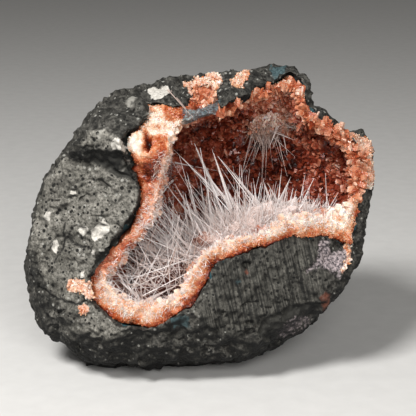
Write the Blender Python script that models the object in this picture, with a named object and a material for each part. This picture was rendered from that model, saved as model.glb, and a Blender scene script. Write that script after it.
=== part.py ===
"""Scolecite geode: a basalt nodule broken open on a hollow that is lined with peach heulandite
crystals and holds a spray of white scolecite needles.

Everything is drawn square to a viewer who looks into the opening: X to the right, Y up and Z out
of the opening, from the nodule's centre. The empty "drawing_frame" then leans that drawing back,
so that the nodule rests on its broken base at the world's Z = 0. All sizes are in metres.
"""

import math
import random

import bmesh
import bpy
from mathutils import Matrix, Vector, noise

# Driving dimensions of the nodule
VIEWER_HEIGHT_DEG = 15.0
VIEW_DISTANCE = 0.600
FRONT_DEPTH = 0.058
BACK_DEPTH = 0.060
FRONT_FULLNESS = 2.7
BACK_FULLNESS = 2.25
BASE_DROP = 0.0655
BASALT_DETAIL = 0.096
# Swells, knobs and ridges of the weathered surface: how many to a metre, and how high
SWELLS = (38, 0.0022)
KNOBS = (95, 0.0010)
RIDGES = (60, 0.0012)

# Outline of the whole nodule, right round it, as the viewer sees it
NODULE_OUTLINE = [
    (0.0765, 0.0000), (0.0788, 0.0124), (0.0800, 0.0207), (0.0804, 0.0258), (0.0786, 0.0310),
    (0.0748, 0.0388), (0.0690, 0.0408), (0.0607, 0.0453), (0.0524, 0.0497), (0.0503, 0.0524),
    (0.0496, 0.0590), (0.0486, 0.0644), (0.0428, 0.0680), (0.0359, 0.0698), (0.0253, 0.0674),
    (0.0092, 0.0652), (-0.0041, 0.0636), (-0.0189, 0.0614), (-0.0330, 0.0566),
    (-0.0424, 0.0505), (-0.0516, 0.0431), (-0.0588, 0.0345), (-0.0644, 0.0237),
    (-0.0698, 0.0125), (-0.0751, 0.0000), (-0.0778, -0.0137), (-0.0786, -0.0287),
    (-0.0763, -0.0400), (-0.0718, -0.0500), (-0.0667, -0.0552), (-0.0600, -0.0590),
    (-0.0500, -0.0660), (-0.0405, -0.0725), (-0.0161, -0.0715), (0.0023, -0.0690),
    (0.0184, -0.0650), (0.0322, -0.0598), (0.0460, -0.0510), (0.0552, -0.0425),
    (0.0610, -0.0370), (0.0660, -0.0304), (0.0700, -0.0230), (0.0728, -0.0133),
    (0.0758, -0.0037),
]

# Broken faces that flatten the nodule: a point on the face, the way it faces, and how far the
# crystal crust stands back from it
BROKEN_FACES = {
    "left": ((-0.027, 0.010, 0.040), (-0.36, 0.02, 1.00), 0.005),
    "grooved": ((0.020, -0.020, 0.036), (0.25, -0.12, 1.00), 0.000),
    "opening": ((0.075, 0.020, 0.002), (0.556, 0.311, 1.00), -0.003),
    "top": ((0.007, 0.050, 0.022), (0.00, 1.50, 1.00), 0.002),
    "lower_front": ((-0.015, -0.055, 0.034), (0.10, -0.55, 1.00), 0.001),
    "underside": ((-0.046, -0.056, 0.030), (-0.30, -0.80, 0.52), 0.003),
    "keel": ((-0.010, -0.0635, 0.026), (0.05, -0.97, 0.22), 0.003),
    "lower_left": ((-0.066, -0.038, 0.022), (-0.75, -0.30, 0.60), 0.003),
    "lower_right": ((0.034, -0.048, 0.030), (0.50, -0.62, 0.60), 0.003),
}
EDGE_ROUND = 0.0025
LEDGE_HEIGHT = 0.0100
LEDGE_LEFT_END = (-0.052, 0.022)
LEDGE_SLOPE = -0.22
LEDGE_WIDTH = 0.0070

# Hollow: its outline at the opening and at its widest, about its own centre
HOLLOW_CENTRE = (0.000, 0.008)
OPENING_OUTLINE = [
    (-0.0616, -0.0317), (-0.0566, -0.0270), (-0.0497, -0.0280), (-0.0455, -0.0212),
    (-0.0382, -0.0147), (-0.0322, -0.0051), (-0.0271, 0.0023), (-0.0262, 0.0133),
    (-0.0250, 0.0230), (-0.0331, 0.0276), (-0.0345, 0.0331), (-0.0290, 0.0391),
    (-0.0262, 0.0428), (-0.0276, 0.0497), (-0.0161, 0.0506), (-0.0060, 0.0492),
    (-0.0070, 0.0610), (0.0080, 0.0615),
    (0.0090, 0.0505), (0.0129, 0.0506), (0.0253, 0.0561), (0.0299, 0.0612), (0.0380, 0.0650),
    (0.0430, 0.0655), (0.0465, 0.0620), (0.0478, 0.0570), (0.0486, 0.0500), (0.0515, 0.0455),
    (0.0620, 0.0400), (0.0715, 0.0365), (0.0758, 0.0280), (0.0770, 0.0207), (0.0745, 0.0130),
    (0.0727, 0.0050), (0.0710, -0.0080), (0.0690, -0.0150), (0.0620, -0.0160),
    (0.0543, -0.0115), (0.0437, -0.0092), (0.0363, -0.0133),
    (0.0290, -0.0152), (0.0202, -0.0170), (0.0083, -0.0212), (0.0037, -0.0294),
    (0.0018, -0.0391), (-0.0018, -0.0437), (-0.0129, -0.0474), (-0.0152, -0.0524),
    (-0.0235, -0.0520), (-0.0373, -0.0483), (-0.0469, -0.0428), (-0.0515, -0.0363),
    (-0.0566, -0.0345),
]
BELLY_OUTLINE_DEG = [
    (-5, 0.066), (10, 0.067), (21, 0.066), (34, 0.060), (46, 0.062), (58, 0.056), (75, 0.049),
    (90, 0.046), (110, 0.044), (150, 0.045), (180, 0.045), (210, 0.052), (225, 0.058),
    (240, 0.060), (255, 0.056), (285, 0.054), (300, 0.056), (320, 0.060), (340, 0.064),
]
HOLLOW_FRONT = 0.075
HOLLOW_BACK = -0.042
BELLY_DEPTH = -0.004
NECK_DEPTH = 0.026
NECK_LENGTH = 0.030
NECK_SLANT = 0.024
NECK_SLANT_DEG = 25
NECK_FLARE = 0.25
SIDE_FLARE = 0.95
SIDE_FLARE_DEG = 202
SIDE_FLARE_SPREAD_DEG = 26
FLARE_DEPTH = 0.035
POLE_HEIGHT = 0.9999
FIT_GAP = 0.0003

# Crust: the inner edge of its broken rim, and its thickness deeper in
RIM_INNER_OUTLINE = [
    (0.0699, 0.0069), (0.0667, -0.0032), (0.0543, -0.0032), (0.0437, -0.0014),
    (0.0363, -0.0046), (0.0285, -0.0078), (0.0202, -0.0097), (0.0101, -0.0129),
    (0.0023, -0.0184), (-0.0032, -0.0253), (-0.0055, -0.0345), (-0.0092, -0.0391),
    (-0.0161, -0.0414), (-0.0230, -0.0428), (-0.0322, -0.0414), (-0.0405, -0.0377),
    (-0.0446, -0.0322), (-0.0432, -0.0262), (-0.0377, -0.0198), (-0.0299, -0.0129),
    (-0.0230, -0.0046), (-0.0193, 0.0000), (-0.0184, 0.0069), (-0.0161, 0.0138),
    (-0.0156, 0.0230), (-0.0147, 0.0299), (-0.0120, 0.0382), (-0.0041, 0.0419),
    (0.0055, 0.0474), (0.0129, 0.0483), (0.0253, 0.0534), (0.0313, 0.0575), (0.0396, 0.0612),
    (0.0440, 0.0600), (0.0460, 0.0538), (0.0470, 0.0474), (0.0510, 0.0415), (0.0620, 0.0365),
    (0.0690, 0.0345), (0.0728, 0.0276), (0.0738, 0.0216), (0.0712, 0.0161), (0.0699, 0.0115),
]
CRUST_THICKNESS = 0.007
CRUST_THINNEST = 0.0032
CRYSTAL_HEIGHT = (0.0012, 0.0028)
CRYSTAL_INSET = (0.0005, 0.0011)
CRYSTAL_SIZES = 12
CRYSTAL_COVER = 0.66
CRYSTAL_SKEW = 0.0007
CRYSTAL_POINT = 0.0010
CRYSTAL_FRONT = 0.012
CRYSTAL_POINTED_SHARE = 0.2
MOST_BEND_DEG = 183
WALL_ROUGHNESS = 0.0022
WALL_WAVES = 70

# Vesicles: gas bubbles of the lava, open where the surface was broken
VESICLE_COUNT = 16
VESICLE_RADIUS = (0.0030, 0.0048)
VESICLE_DEPTH = 0.6
VESICLES_LEFT_OF = 0.2

# Needle sprays: a felted root on the crust, and the point behind it that its needles fan out from
NEEDLE_ROOTS = {
    "scolecite_spray": [
        {"centre": (0.026, -0.018, 0.006), "size": (0.043, 0.021, 0.021), "turn_deg": 12, "detail": 3,
         "focus": (0.020, -0.046, -0.004), "needles": 54, "length": (0.014, 0.036)},
        {"centre": (-0.019, -0.032, 0.012), "size": (0.027, 0.013, 0.018), "turn_deg": 38, "detail": 3,
         "focus": (-0.012, -0.056, 0.000), "needles": 26, "length": (0.010, 0.024)},
        {"centre": (0.057, -0.008, -0.003), "size": (0.016, 0.010, 0.014), "turn_deg": 0, "detail": 2,
         "focus": (0.052, -0.034, -0.006), "needles": 10, "length": (0.008, 0.018)},
    ],
    "ceiling_tuft": [
        {"centre": (0.0345, 0.0425, -0.018), "size": (0.011, 0.0065, 0.008), "turn_deg": 8,
         "detail": 2, "focus": (0.036, 0.056, -0.022), "needles": 14, "length": (0.006, 0.018)},
    ],
}
NEEDLE_RADIUS = (0.00055, 0.00075)
NEEDLE_TIP_RADIUS = 0.00018
NEEDLE_SIDES = 4
NEEDLE_SPACING = 0.0034
NEEDLE_ROOT_DEPTH = 0.0025
NEEDLE_CLEARANCE = 0.0022
NEEDLE_LEAN = 0.25
NEEDLE_SHORTEST = 0.6
NEEDLE_TRIES = 4000
FELT_SPREAD = 1.45
FELT_WAVES = 120
FELT_SWELL = 0.12


def clear_scene():
    for obj in list(bpy.data.objects):
        bpy.data.objects.remove(obj, do_unlink=True)


def new_collection(name):
    collection = bpy.data.collections.new(name)
    bpy.context.scene.collection.children.link(collection)
    return collection


def new_material(name, colour, roughness):
    material = bpy.data.materials.new(name)
    material.use_nodes = True
    shader = material.node_tree.nodes["Principled BSDF"]
    shader.inputs["Base Color"].default_value = (*colour, 1.0)
    shader.inputs["Roughness"].default_value = roughness
    shader.inputs["Metallic"].default_value = 0.0
    return material


def object_from_bmesh(name, mesh_data, collection, parent):
    mesh = bpy.data.meshes.new(name)
    mesh_data.to_mesh(mesh)
    mesh_data.free()
    obj = bpy.data.objects.new(name, mesh)
    obj.parent = parent
    collection.objects.link(obj)
    return obj


def as_cutter(obj):
    obj.hide_render = True
    obj.display_type = "WIRE"
    return obj


def add_boolean(obj, operation, other, solver="EXACT"):
    modifier = obj.modifiers.new(f"{operation.lower()} {other.name}", "BOOLEAN")
    modifier.operation = operation
    modifier.solver = solver
    modifier.object = other
    return modifier


def smooth_step(value):
    t = min(1.0, max(0.0, value))
    return t * t * (3 - 2 * t)


def soft_min(a, b, rounding):
    overlap = max(rounding - abs(a - b), 0.0) / rounding
    return min(a, b) - overlap * overlap * rounding / 4


def polar_table(points, centre):
    """The outline's points as (angle, radius) about the centre, in the order of their angle."""
    found = [
        (math.atan2(y - centre[1], x - centre[0]), math.hypot(x - centre[0], y - centre[1]))
        for x, y in points
    ]
    return sorted(found)


def radius_at(table, angle):
    """Radius of a closed outline at an angle, straight between the two points either side."""
    turn = 2 * math.pi
    before, after = table[-1], table[0]
    low, high = before[0] - turn, after[0]
    for nearer, further in zip(table, table[1:]):
        if nearer[0] <= angle < further[0]:
            before, after = nearer, further
            low, high = nearer[0], further[0]
            break
    else:
        if angle >= table[-1][0]:
            low, high = before[0], after[0] + turn
    share = (angle - low) / (high - low)
    return before[1] + (after[1] - before[1]) * share


NODULE_TABLE = polar_table(NODULE_OUTLINE, (0.0, 0.0))
OPENING_TABLE = polar_table(OPENING_OUTLINE, HOLLOW_CENTRE)
RIM_INNER_TABLE = polar_table(RIM_INNER_OUTLINE, HOLLOW_CENTRE)
BELLY_TABLE = sorted(
    (math.remainder(math.radians(angle), 2 * math.pi), radius)
    for angle, radius in BELLY_OUTLINE_DEG
)


def down_direction():
    lean = math.radians(VIEWER_HEIGHT_DEG)
    return Vector((0.0, -math.cos(lean), -math.sin(lean)))


def face_reach(direction, point, normal, setback):
    """How far along a direction a broken face lets the nodule reach."""
    facing = Vector(normal).normalized()
    share = facing.dot(direction)
    if share < 0.05:
        return 1.0
    return (facing.dot(Vector(point)) - setback) / share


def ledge_rise(place):
    """The upper block of the left face stands proud of the block below it."""
    line = LEDGE_LEFT_END[1] + LEDGE_SLOPE * (place.x - LEDGE_LEFT_END[0])
    return LEDGE_HEIGHT * smooth_step((place.y - line) / LEDGE_WIDTH)


def nodule_reach(direction, for_crust=False):
    """Distance from the centre to the nodule's surface, or to where the crust ends."""
    flat = math.hypot(direction.x, direction.y)
    outline = radius_at(NODULE_TABLE, math.atan2(direction.y, direction.x))
    depth, fullness = FRONT_DEPTH, FRONT_FULLNESS
    if direction.z < 0:
        depth, fullness = BACK_DEPTH, BACK_FULLNESS
    share = (flat / outline) ** fullness + (abs(direction.z) / depth) ** fullness
    reach = share ** (-1 / fullness)
    for name, (point, normal, setback) in BROKEN_FACES.items():
        limit = face_reach(direction, point, normal, setback if for_crust else 0.0)
        if name == "left":
            limit += ledge_rise(direction * min(limit, reach))
        reach = soft_min(reach, limit, EDGE_ROUND)
    return reach


def lumps(place):
    """Low swells and small knobs of the weathered rock."""
    swell = noise.noise(place * SWELLS[0]) * SWELLS[1]
    knob = noise.noise(place * KNOBS[0] + Vector((7, 3, 1))) * KNOBS[1]
    ridge = (0.5 - abs(noise.noise(place * RIDGES[0] + Vector((2, 9, 5))))) * RIDGES[1]
    return swell + knob + ridge


def wander(place):
    """A smooth random shift that differs from place to place."""
    return Vector(noise.noise(place + Vector((axis * 31, 17, axis * 7))) for axis in range(3))


def vesicle_places(rng):
    """Directions and radii of the open bubbles, mostly on the left and the underside."""
    places = []
    while len(places) < VESICLE_COUNT:
        direction = Vector([rng.gauss(0, 1) for _ in range(3)]).normalized()
        if direction.x > VESICLES_LEFT_OF and direction.z > 0.3:
            continue
        places.append((direction, rng.uniform(*VESICLE_RADIUS)))
    return places


def nodule_mesh(for_crust=False):
    """The whole nodule, or the plainer body that ends the crust in front."""
    vesicles = vesicle_places(random.Random(11))
    down = down_direction()
    bm = bmesh.new()
    bmesh.ops.create_icosphere(bm, subdivisions=5 if for_crust else 6, radius=1.0)
    for vertex in bm.verts:
        direction = vertex.co.normalized()
        reach = nodule_reach(direction, for_crust)
        if not for_crust:
            reach += lumps(direction * reach)
            for toward, radius in vesicles:
                gap = (direction - toward).length * reach
                if gap < radius:
                    reach -= math.sqrt(radius * radius - gap * gap) * VESICLE_DEPTH
            share = down.dot(direction)
            if share > 0.05:
                reach = min(reach, BASE_DROP / share)
        vertex.co = direction * reach
    return bm


def neck_depth(angle):
    """Where the hollow starts to change shape: deeper at the right, where the break slants back."""
    return NECK_DEPTH - NECK_SLANT * smooth_step(math.cos(angle - math.radians(NECK_SLANT_DEG)))


def hollow_radius(angle, depth, opening, shrink):
    """Radius of the hollow at an angle and a depth, from its opening's outline to its belly's."""
    back = HOLLOW_BACK + shrink
    neck = radius_at(opening, angle)
    belly = radius_at(BELLY_TABLE, angle) - shrink
    deeper = smooth_step((neck_depth(angle) - depth) / NECK_LENGTH)
    radius = (neck + (belly - neck) * deeper) * (1 - max(depth, 0.0) / VIEW_DISTANCE)
    if depth < BELLY_DEPTH:
        share = min(1.0, (BELLY_DEPTH - depth) / (BELLY_DEPTH - back))
        radius *= math.sqrt(1 - share * share)
    if shrink:
        outside = hollow_radius(angle, depth, OPENING_TABLE, 0.0)
        radius = min(radius, max(0.0, outside - CRUST_THINNEST))
    return radius


def flare_at(angle, depth):
    """How far the rock stands back from the crust, on the left side of the opening."""
    away = abs(math.remainder(angle - math.radians(SIDE_FLARE_DEG), 2 * math.pi))
    side = smooth_step(1 - away / math.radians(SIDE_FLARE_SPREAD_DEG))
    slope = NECK_FLARE * smooth_step(-2 * math.cos(angle)) + SIDE_FLARE * side
    return slope * max(0.0, depth - FLARE_DEPTH)


def hollow_mesh(opening, shrink=0.0, flared=False, crystals=False, gap=0.0):
    """A closed body of the hollow: a sphere drawn out past the front and shaped by its outlines.
    With crystals it is dented wherever a crystal of the crust stands into it."""
    back = HOLLOW_BACK + shrink
    bm = bmesh.new()
    bmesh.ops.create_icosphere(bm, subdivisions=4, radius=1.0)
    for vertex in bm.verts:
        height = vertex.co.z
        angle = math.atan2(vertex.co.y, vertex.co.x)
        depth = back + (HOLLOW_FRONT - back) * (height + 1) / 2
        radius = hollow_radius(angle, depth, opening, shrink)
        if flared:
            radius += flare_at(angle, depth)
        if abs(height) > POLE_HEIGHT:
            radius = 0.0
        place = Vector((math.cos(angle) * radius, math.sin(angle) * radius, depth))
        vertex.co = place + wander(place * WALL_WAVES) * WALL_ROUGHNESS
        vertex.co += Vector((*HOLLOW_CENTRE, 0.0))
    bmesh.ops.recalc_face_normals(bm, faces=bm.faces)
    if crystals:
        dent_crystals(bm)
    if gap:
        bm.normal_update()
        for vertex, normal in [(vertex, vertex.normal.copy()) for vertex in bm.verts]:
            vertex.co -= normal * gap
    return bm


def dent_crystals(bm):
    """Sets blocky crystals over the hollow's walls, a block on each pair of faces."""
    rng = random.Random(29)
    bmesh.ops.join_triangles(
        bm,
        faces=bm.faces,
        angle_face_threshold=math.radians(MOST_BEND_DEG),
        angle_shape_threshold=math.radians(MOST_BEND_DEG),
    )
    blocks = [
        face for face in bm.faces
        if face.calc_center_median().z < CRYSTAL_FRONT and len(face.verts) == 4
        and not under_felt(face.calc_center_median())
    ]
    blocks = rng.sample(blocks, int(len(blocks) * CRYSTAL_COVER))
    size = math.ceil(len(blocks) / CRYSTAL_SIZES)
    for start in range(0, len(blocks), size):
        bmesh.ops.inset_individual(
            bm,
            faces=blocks[start:start + size],
            thickness=rng.uniform(*CRYSTAL_INSET),
            depth=-rng.uniform(*CRYSTAL_HEIGHT),
            use_even_offset=True,
        )
    for face in blocks:
        for vertex in face.verts:
            vertex.co += Vector([rng.uniform(-1, 1) for _ in range(3)]) * CRYSTAL_SKEW
    pointed = rng.sample(blocks, int(len(blocks) * CRYSTAL_POINTED_SHARE))
    bmesh.ops.poke(bm, faces=pointed, offset=-CRYSTAL_POINT)
    bmesh.ops.triangulate(bm, faces=bm.faces)


def root_place(root, place):
    """A place in a felted root's own measure: on its surface the length of this is 1."""
    turn = Matrix.Rotation(math.radians(-root["turn_deg"]), 3, "Z")
    offset = turn @ (Vector(place) - Vector(root["centre"]))
    return Vector(offset[axis] / root["size"][axis] for axis in range(3))


def under_felt(place):
    return any(
        root_place(root, place).length < FELT_SPREAD
        for roots in NEEDLE_ROOTS.values()
        for root in roots
    )


def felt_mesh(root):
    """The felt of short needles at a spray's root, as a rough lump."""
    turn = Matrix.Rotation(math.radians(root["turn_deg"]), 3, "Z")
    bm = bmesh.new()
    bmesh.ops.create_icosphere(bm, subdivisions=root["detail"], radius=1.0)
    for vertex in bm.verts:
        stretched = Vector(vertex.co[axis] * root["size"][axis] for axis in range(3))
        place = turn @ stretched + Vector(root["centre"])
        swell = 1 + FELT_SWELL * noise.noise(place * FELT_WAVES)
        vertex.co = turn @ (stretched * swell) + Vector(root["centre"])
    return bm


def is_free(place, margin):
    """Whether a place is in the crust's hollow, and behind the faces that broke it open."""
    flat = Vector((place.x - HOLLOW_CENTRE[0], place.y - HOLLOW_CENTRE[1]))
    angle = math.atan2(flat.y, flat.x)
    beside = hollow_radius(angle, place.z, RIM_INNER_TABLE, CRUST_THICKNESS) - margin
    behind = hollow_radius(angle, place.z - margin, RIM_INNER_TABLE, CRUST_THICKNESS)
    front = nodule_reach(place.normalized()) - CRYSTAL_HEIGHT[1] - margin
    return flat.length < min(beside, behind) and place.length < front


def free_length(start, direction, wanted, margin):
    """How far a needle can run before it nears a wall or the open front."""
    length = 0.0
    while length < wanted and is_free(start + direction * (length + 0.001), margin):
        length += 0.001
    return length


def needle_places(root, rng):
    """Where each needle leaves the felt, which way it points and how long it is."""
    turn = Matrix.Rotation(math.radians(root["turn_deg"]), 3, "Z")
    focus = Vector(root["focus"])
    margin = CRYSTAL_HEIGHT[1] + NEEDLE_CLEARANCE
    places = []
    for _ in range(NEEDLE_TRIES):
        if len(places) == root["needles"]:
            break
        toward = Vector([rng.gauss(0, 1) for _ in range(3)]).normalized()
        start = turn @ Vector(toward[axis] * root["size"][axis] for axis in range(3))
        start += Vector(root["centre"])
        direction = (start - focus).normalized()
        if direction.dot(turn @ toward) < NEEDLE_LEAN or not is_free(start, margin):
            continue
        if not is_free(start - direction * NEEDLE_ROOT_DEPTH, NEEDLE_CLEARANCE):
            continue
        if any((start - other).length < NEEDLE_SPACING for other, _, _ in places):
            continue
        length = free_length(start, direction, rng.uniform(*root["length"]), margin)
        if length < root["length"][0] * NEEDLE_SHORTEST:
            continue
        places.append((start, direction, length))
    return places


def needles_mesh(places, rng):
    """Slender four-sided prisms that taper to a blunt tip."""
    bm = bmesh.new()
    for start, direction, length in places:
        foot = start - direction * NEEDLE_ROOT_DEPTH
        whole = length + NEEDLE_ROOT_DEPTH
        turn = direction.to_track_quat("Z", "Y").to_matrix().to_4x4()
        place = Matrix.Translation(foot + direction * whole / 2) @ turn
        bmesh.ops.create_cone(
            bm,
            cap_ends=True,
            segments=NEEDLE_SIDES,
            radius1=rng.uniform(*NEEDLE_RADIUS),
            radius2=NEEDLE_TIP_RADIUS,
            depth=whole,
            matrix=place,
        )
    return bm


def add_spray(name, roots, inside, geode, cutters, frame):
    """Felted roots cut to the crust's wall, with their needles joined on."""
    rng = random.Random(len(name))
    spray = object_from_bmesh(name, felt_mesh(roots[0]), geode, frame)
    places = needle_places(roots[0], rng)
    for number, root in enumerate(roots[1:], 2):
        felt = object_from_bmesh(f"{name}_felt_{number}", felt_mesh(root), cutters, frame)
        add_boolean(spray, "UNION", as_cutter(felt))
        for place in needle_places(root, rng):
            if all((place[0] - other[0]).length > NEEDLE_SPACING for other in places):
                places.append(place)
    add_boolean(spray, "INTERSECT", inside)
    needles = object_from_bmesh(f"{name}_needles", needles_mesh(places, rng), cutters, frame)
    add_boolean(spray, "UNION", as_cutter(needles), solver="MANIFOLD")
    spray.data.materials.append(new_material(f"scolecite_{name}", (0.88, 0.85, 0.82), 0.45))


def centre_over_origin(frame, basalt):
    """Moves the drawing so that the nodule's box is centred over the origin, its base at Z = 0."""
    bpy.context.view_layer.update()
    solid = basalt.evaluated_get(bpy.context.evaluated_depsgraph_get())
    points = [solid.matrix_world @ vertex.co for vertex in solid.data.vertices]
    low = [min(point[axis] for point in points) for axis in range(3)]
    high = [max(point[axis] for point in points) for axis in range(3)]
    frame.location.x -= (low[0] + high[0]) / 2
    frame.location.y -= (low[1] + high[1]) / 2
    frame.location.z -= low[2]
    bpy.context.view_layer.update()


def main():
    clear_scene()
    geode = new_collection("scolecite_geode")
    cutters = new_collection("cutters")
    frame = bpy.data.objects.new("drawing_frame", None)
    frame.location.z = BASE_DROP
    frame.rotation_euler.x = math.radians(90 - VIEWER_HEIGHT_DEG)
    geode.objects.link(frame)

    basalt = object_from_bmesh("basalt_shell", nodule_mesh(), geode, frame)
    basalt.data.materials.append(new_material("basalt", (0.09, 0.088, 0.08), 0.85))
    thinned = basalt.modifiers.new("fewer faces", "DECIMATE")
    thinned.ratio = BASALT_DETAIL
    hollow = hollow_mesh(OPENING_TABLE, flared=True)
    add_boolean(
        basalt, "DIFFERENCE", as_cutter(object_from_bmesh("hollow", hollow, cutters, frame))
    )

    outer = hollow_mesh(OPENING_TABLE, gap=FIT_GAP)
    crust = object_from_bmesh("crystal_crust", outer, geode, frame)
    crust.data.materials.append(new_material("heulandite", (0.75, 0.36, 0.24), 0.35))
    front = object_from_bmesh("crust_front", nodule_mesh(for_crust=True), cutters, frame)
    add_boolean(crust, "INTERSECT", as_cutter(front))
    walls = hollow_mesh(RIM_INNER_TABLE, CRUST_THICKNESS, crystals=True)
    walls = object_from_bmesh("crust_inside", walls, cutters, frame)
    add_boolean(crust, "DIFFERENCE", as_cutter(walls))

    inside = hollow_mesh(RIM_INNER_TABLE, CRUST_THICKNESS, crystals=True, gap=FIT_GAP)
    inside = as_cutter(object_from_bmesh("spray_room", inside, cutters, frame))
    for name, roots in NEEDLE_ROOTS.items():
        add_spray(name, roots, inside, geode, cutters, frame)
    centre_over_origin(frame, basalt)


main()
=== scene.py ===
import math
import random

import bmesh
import bpy
import numpy as np
from mathutils import Matrix, Vector, noise
from mathutils.bvhtree import BVHTree
from mathutils.kdtree import KDTree


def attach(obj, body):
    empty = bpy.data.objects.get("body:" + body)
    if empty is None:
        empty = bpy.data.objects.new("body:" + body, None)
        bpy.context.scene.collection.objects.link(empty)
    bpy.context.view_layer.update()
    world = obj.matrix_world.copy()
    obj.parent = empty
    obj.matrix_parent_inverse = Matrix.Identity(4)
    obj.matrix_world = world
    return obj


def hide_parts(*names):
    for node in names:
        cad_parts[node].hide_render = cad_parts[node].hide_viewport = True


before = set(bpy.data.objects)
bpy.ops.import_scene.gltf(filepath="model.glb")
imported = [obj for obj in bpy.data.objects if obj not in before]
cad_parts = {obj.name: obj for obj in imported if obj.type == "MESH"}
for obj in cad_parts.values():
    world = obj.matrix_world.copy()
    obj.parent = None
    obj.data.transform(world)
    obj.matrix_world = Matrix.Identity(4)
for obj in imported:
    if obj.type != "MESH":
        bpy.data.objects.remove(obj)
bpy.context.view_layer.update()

# Basalt rock. A rounded nodule of grey lava, broken open with a hammer: the front is fresh
# fracture faces, a proud block at the left and a scored facet at the lower right. The mesh is the
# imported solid, split finer and roughened; its patches are drawn as the viewer sees them.
MM = 0.001
TO_VIEWER = (
    Matrix.Translation((-0.00003, -0.00650, 0.06551)) @ Matrix.Rotation(math.radians(75), 4, "X")
).inverted()
FROM_VIEWER = TO_VIEWER.inverted()
VIEWER_DISTANCE = 600.0
VIEWER_CENTRE = np.array((3.68, 3.22))
# The planes that the nodule broke along: a point, the way it faces, and how far in it stops
BROKEN_FACES = {
    "left": ((-27, 10, 40), (-0.36, 0.02, 1.00), 5.0),
    "grooved": ((20, -20, 36), (0.25, -0.12, 1.00), 0.0),
    "opening": ((75, 20, 2), (0.556, 0.311, 1.00), -3.0),
    "top": ((7, 50, 22), (0.00, 1.50, 1.00), 2.0),
    "lower_front": ((-15, -55, 34), (0.10, -0.55, 1.00), 1.0),
}
# Edges the mesh is split to, in millimetres, and how near the crust hides the rock
FRONT_EDGE = 0.92
BACK_EDGE = 2.2
HIDDEN_EDGE = 3.0
HIDDEN_GAP = 0.6
SMOOTHING_STEPS = 12
SHARP_DEG = 34
CHIPS = 190
CHIP_SLOPE = 0.11
CHIP_STEP = 0.16
# Noise in the rock's skin: wavelength, seed and height, in millimetres
ROCK_RELIEF = [(9, 1, 0.7), (3.6, 2, 0.5), (1.7, 3, 0.35)]
CRAG_RELIEF = [(5, 4, 1.6), (2.0, 5, 1.0)]
# How high each kind of patch stands, and how wide its edge is
PATCH_HEIGHTS = {"crystal_patch": (0.35, 1.0), "amygdule": (0.15, 0.8), "undercut": (-0.8, 1.5),
                 "break_with_painted_shade": (-1.8, 2.0)}
CRACK_DEPTH = 0.8
CRACK_WIDTH = 0.9
# How squarely a spot must face as the left face does to count as fresh and lit, where it is
# flatter and painted paler as painted light, how much flatter fresh rock and the scored facets
# are, and from where up the rock's top edge is craggy
FRESH_AND_LIT_FACING = (0.80, 0.94)
FRESH_FLATNESS = 0.55
FACET_FLATNESS = 0.75
CRAG_HEIGHTS = (46, 52)
# Distances to patches and to other solids are measured up to this
FAR = 30.0
# The patches of the front: closed outlines, each point in millimetres right and up from the
# nodule's centre as the viewer sees it
AMYGDULES = [
    [(-24.2, 57.5), (-22.2, 58.7), (-17.6, 59.2), (-15, 58.3), (-14.2, 55.6), (-16.1, 54.1),
     (-19.2, 52.9), (-22.2, 54.1), (-23.9, 55.6)],
    [(-41, 33.7), (-39.1, 35.6), (-36.8, 35.3), (-35.9, 32.2), (-33.7, 31.8), (-34.1, 29.5),
     (-36.8, 29.1), (-39.5, 28.8), (-40.6, 30.7)],
    [(-56.7, -7.3), (-54.8, -5.5), (-52.1, -5), (-50.7, -6.5), (-51.8, -8.6), (-54.4, -10),
     (-56.4, -8.8)],
    [(-49.8, -10.3), (-49.8, -6.9), (-47.9, -5), (-46, -3.8), (-44.5, -1.5), (-43.7, -2.7),
     (-42.6, -5), (-43.3, -7.7), (-46, -10.7), (-48.3, -13.4), (-49.5, -12.7)],
    [(-69, -14.6), (-67.9, -11.9), (-65.9, -11.1), (-65.2, -13.8), (-66.3, -17.2), (-68.2, -16.5)],
    [(-70.9, -1.9), (-69.8, 1.2), (-68.2, 1.5), (-68.2, -1.2), (-69.8, -3.1)],
    [(-59.3, 11.5), (-57.5, 11.5), (-57, 10.1), (-58.4, 9.2), (-59.8, 10.1)],
    [(-50.4, -16.6), (-49, -16.6), (-48.8, -18.4), (-50.1, -18.9)],
    [(-55.2, -26.1), (-53.7, -26.1), (-53.3, -28.4), (-54.8, -28.8)],
]
FAINT_AMYGDULES = [
    [(-47.9, 35.3), (-46, 38.3), (-44.1, 41), (-42.6, 41.8), (-43.3, 39.9), (-44.9, 37.6),
     (-46, 34.9), (-47.5, 34.5)],
    [(-37.2, 23.8), (-34.9, 25.3), (-32.6, 23.8), (-33, 21.5), (-35.3, 20.3), (-36.8, 21.9)],
    [(-33.7, 50.2), (-31.4, 52.5), (-29.1, 51.8), (-29.9, 49.8), (-32.2, 48.7)],
]
CRYSTAL_PATCHES = [
    [(66, 39), (75, 39), (79.5, 31), (81.5, 25), (80, 17), (77, 12), (71, 12), (71.5, 22),
     (68, 31)],
    [(13.8, 61.3), (15.3, 62.9), (19.2, 64.9), (23, 64.9), (23.3, 62.1), (20.7, 59.3),
     (17.6, 56.7), (14.6, 56), (14.1, 58.3)],
    [(-4.6, 62.1), (0, 63.3), (9.2, 63.9), (10, 61.3), (8.4, 57.5), (6.1, 53.7), (3.1, 52.1),
     (0, 48.3), (-2.3, 49.1), (-3.8, 54.4), (-6.1, 57.5), (-8.4, 59.8)],
    [(-61.7, -32.6), (-59.8, -29.1), (-56.4, -29.1), (-52.1, -30.3), (-49.1, -30.3),
     (-44.8, -31.4), (-46.1, -37.6), (-52.9, -37.6), (-56, -34.9), (-59.8, -34.9)],
    [(-56.4, -42.2), (-54.4, -41), (-51, -41.4), (-50.7, -43.7), (-52.5, -46), (-54.8, -45.2)],
    [(65.4, -14.6), (67.5, -12.3), (69, -16.1), (68.6, -19.9), (66.7, -24.5), (64.4, -27.6),
     (64.9, -23), (66.4, -19)],
]
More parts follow.
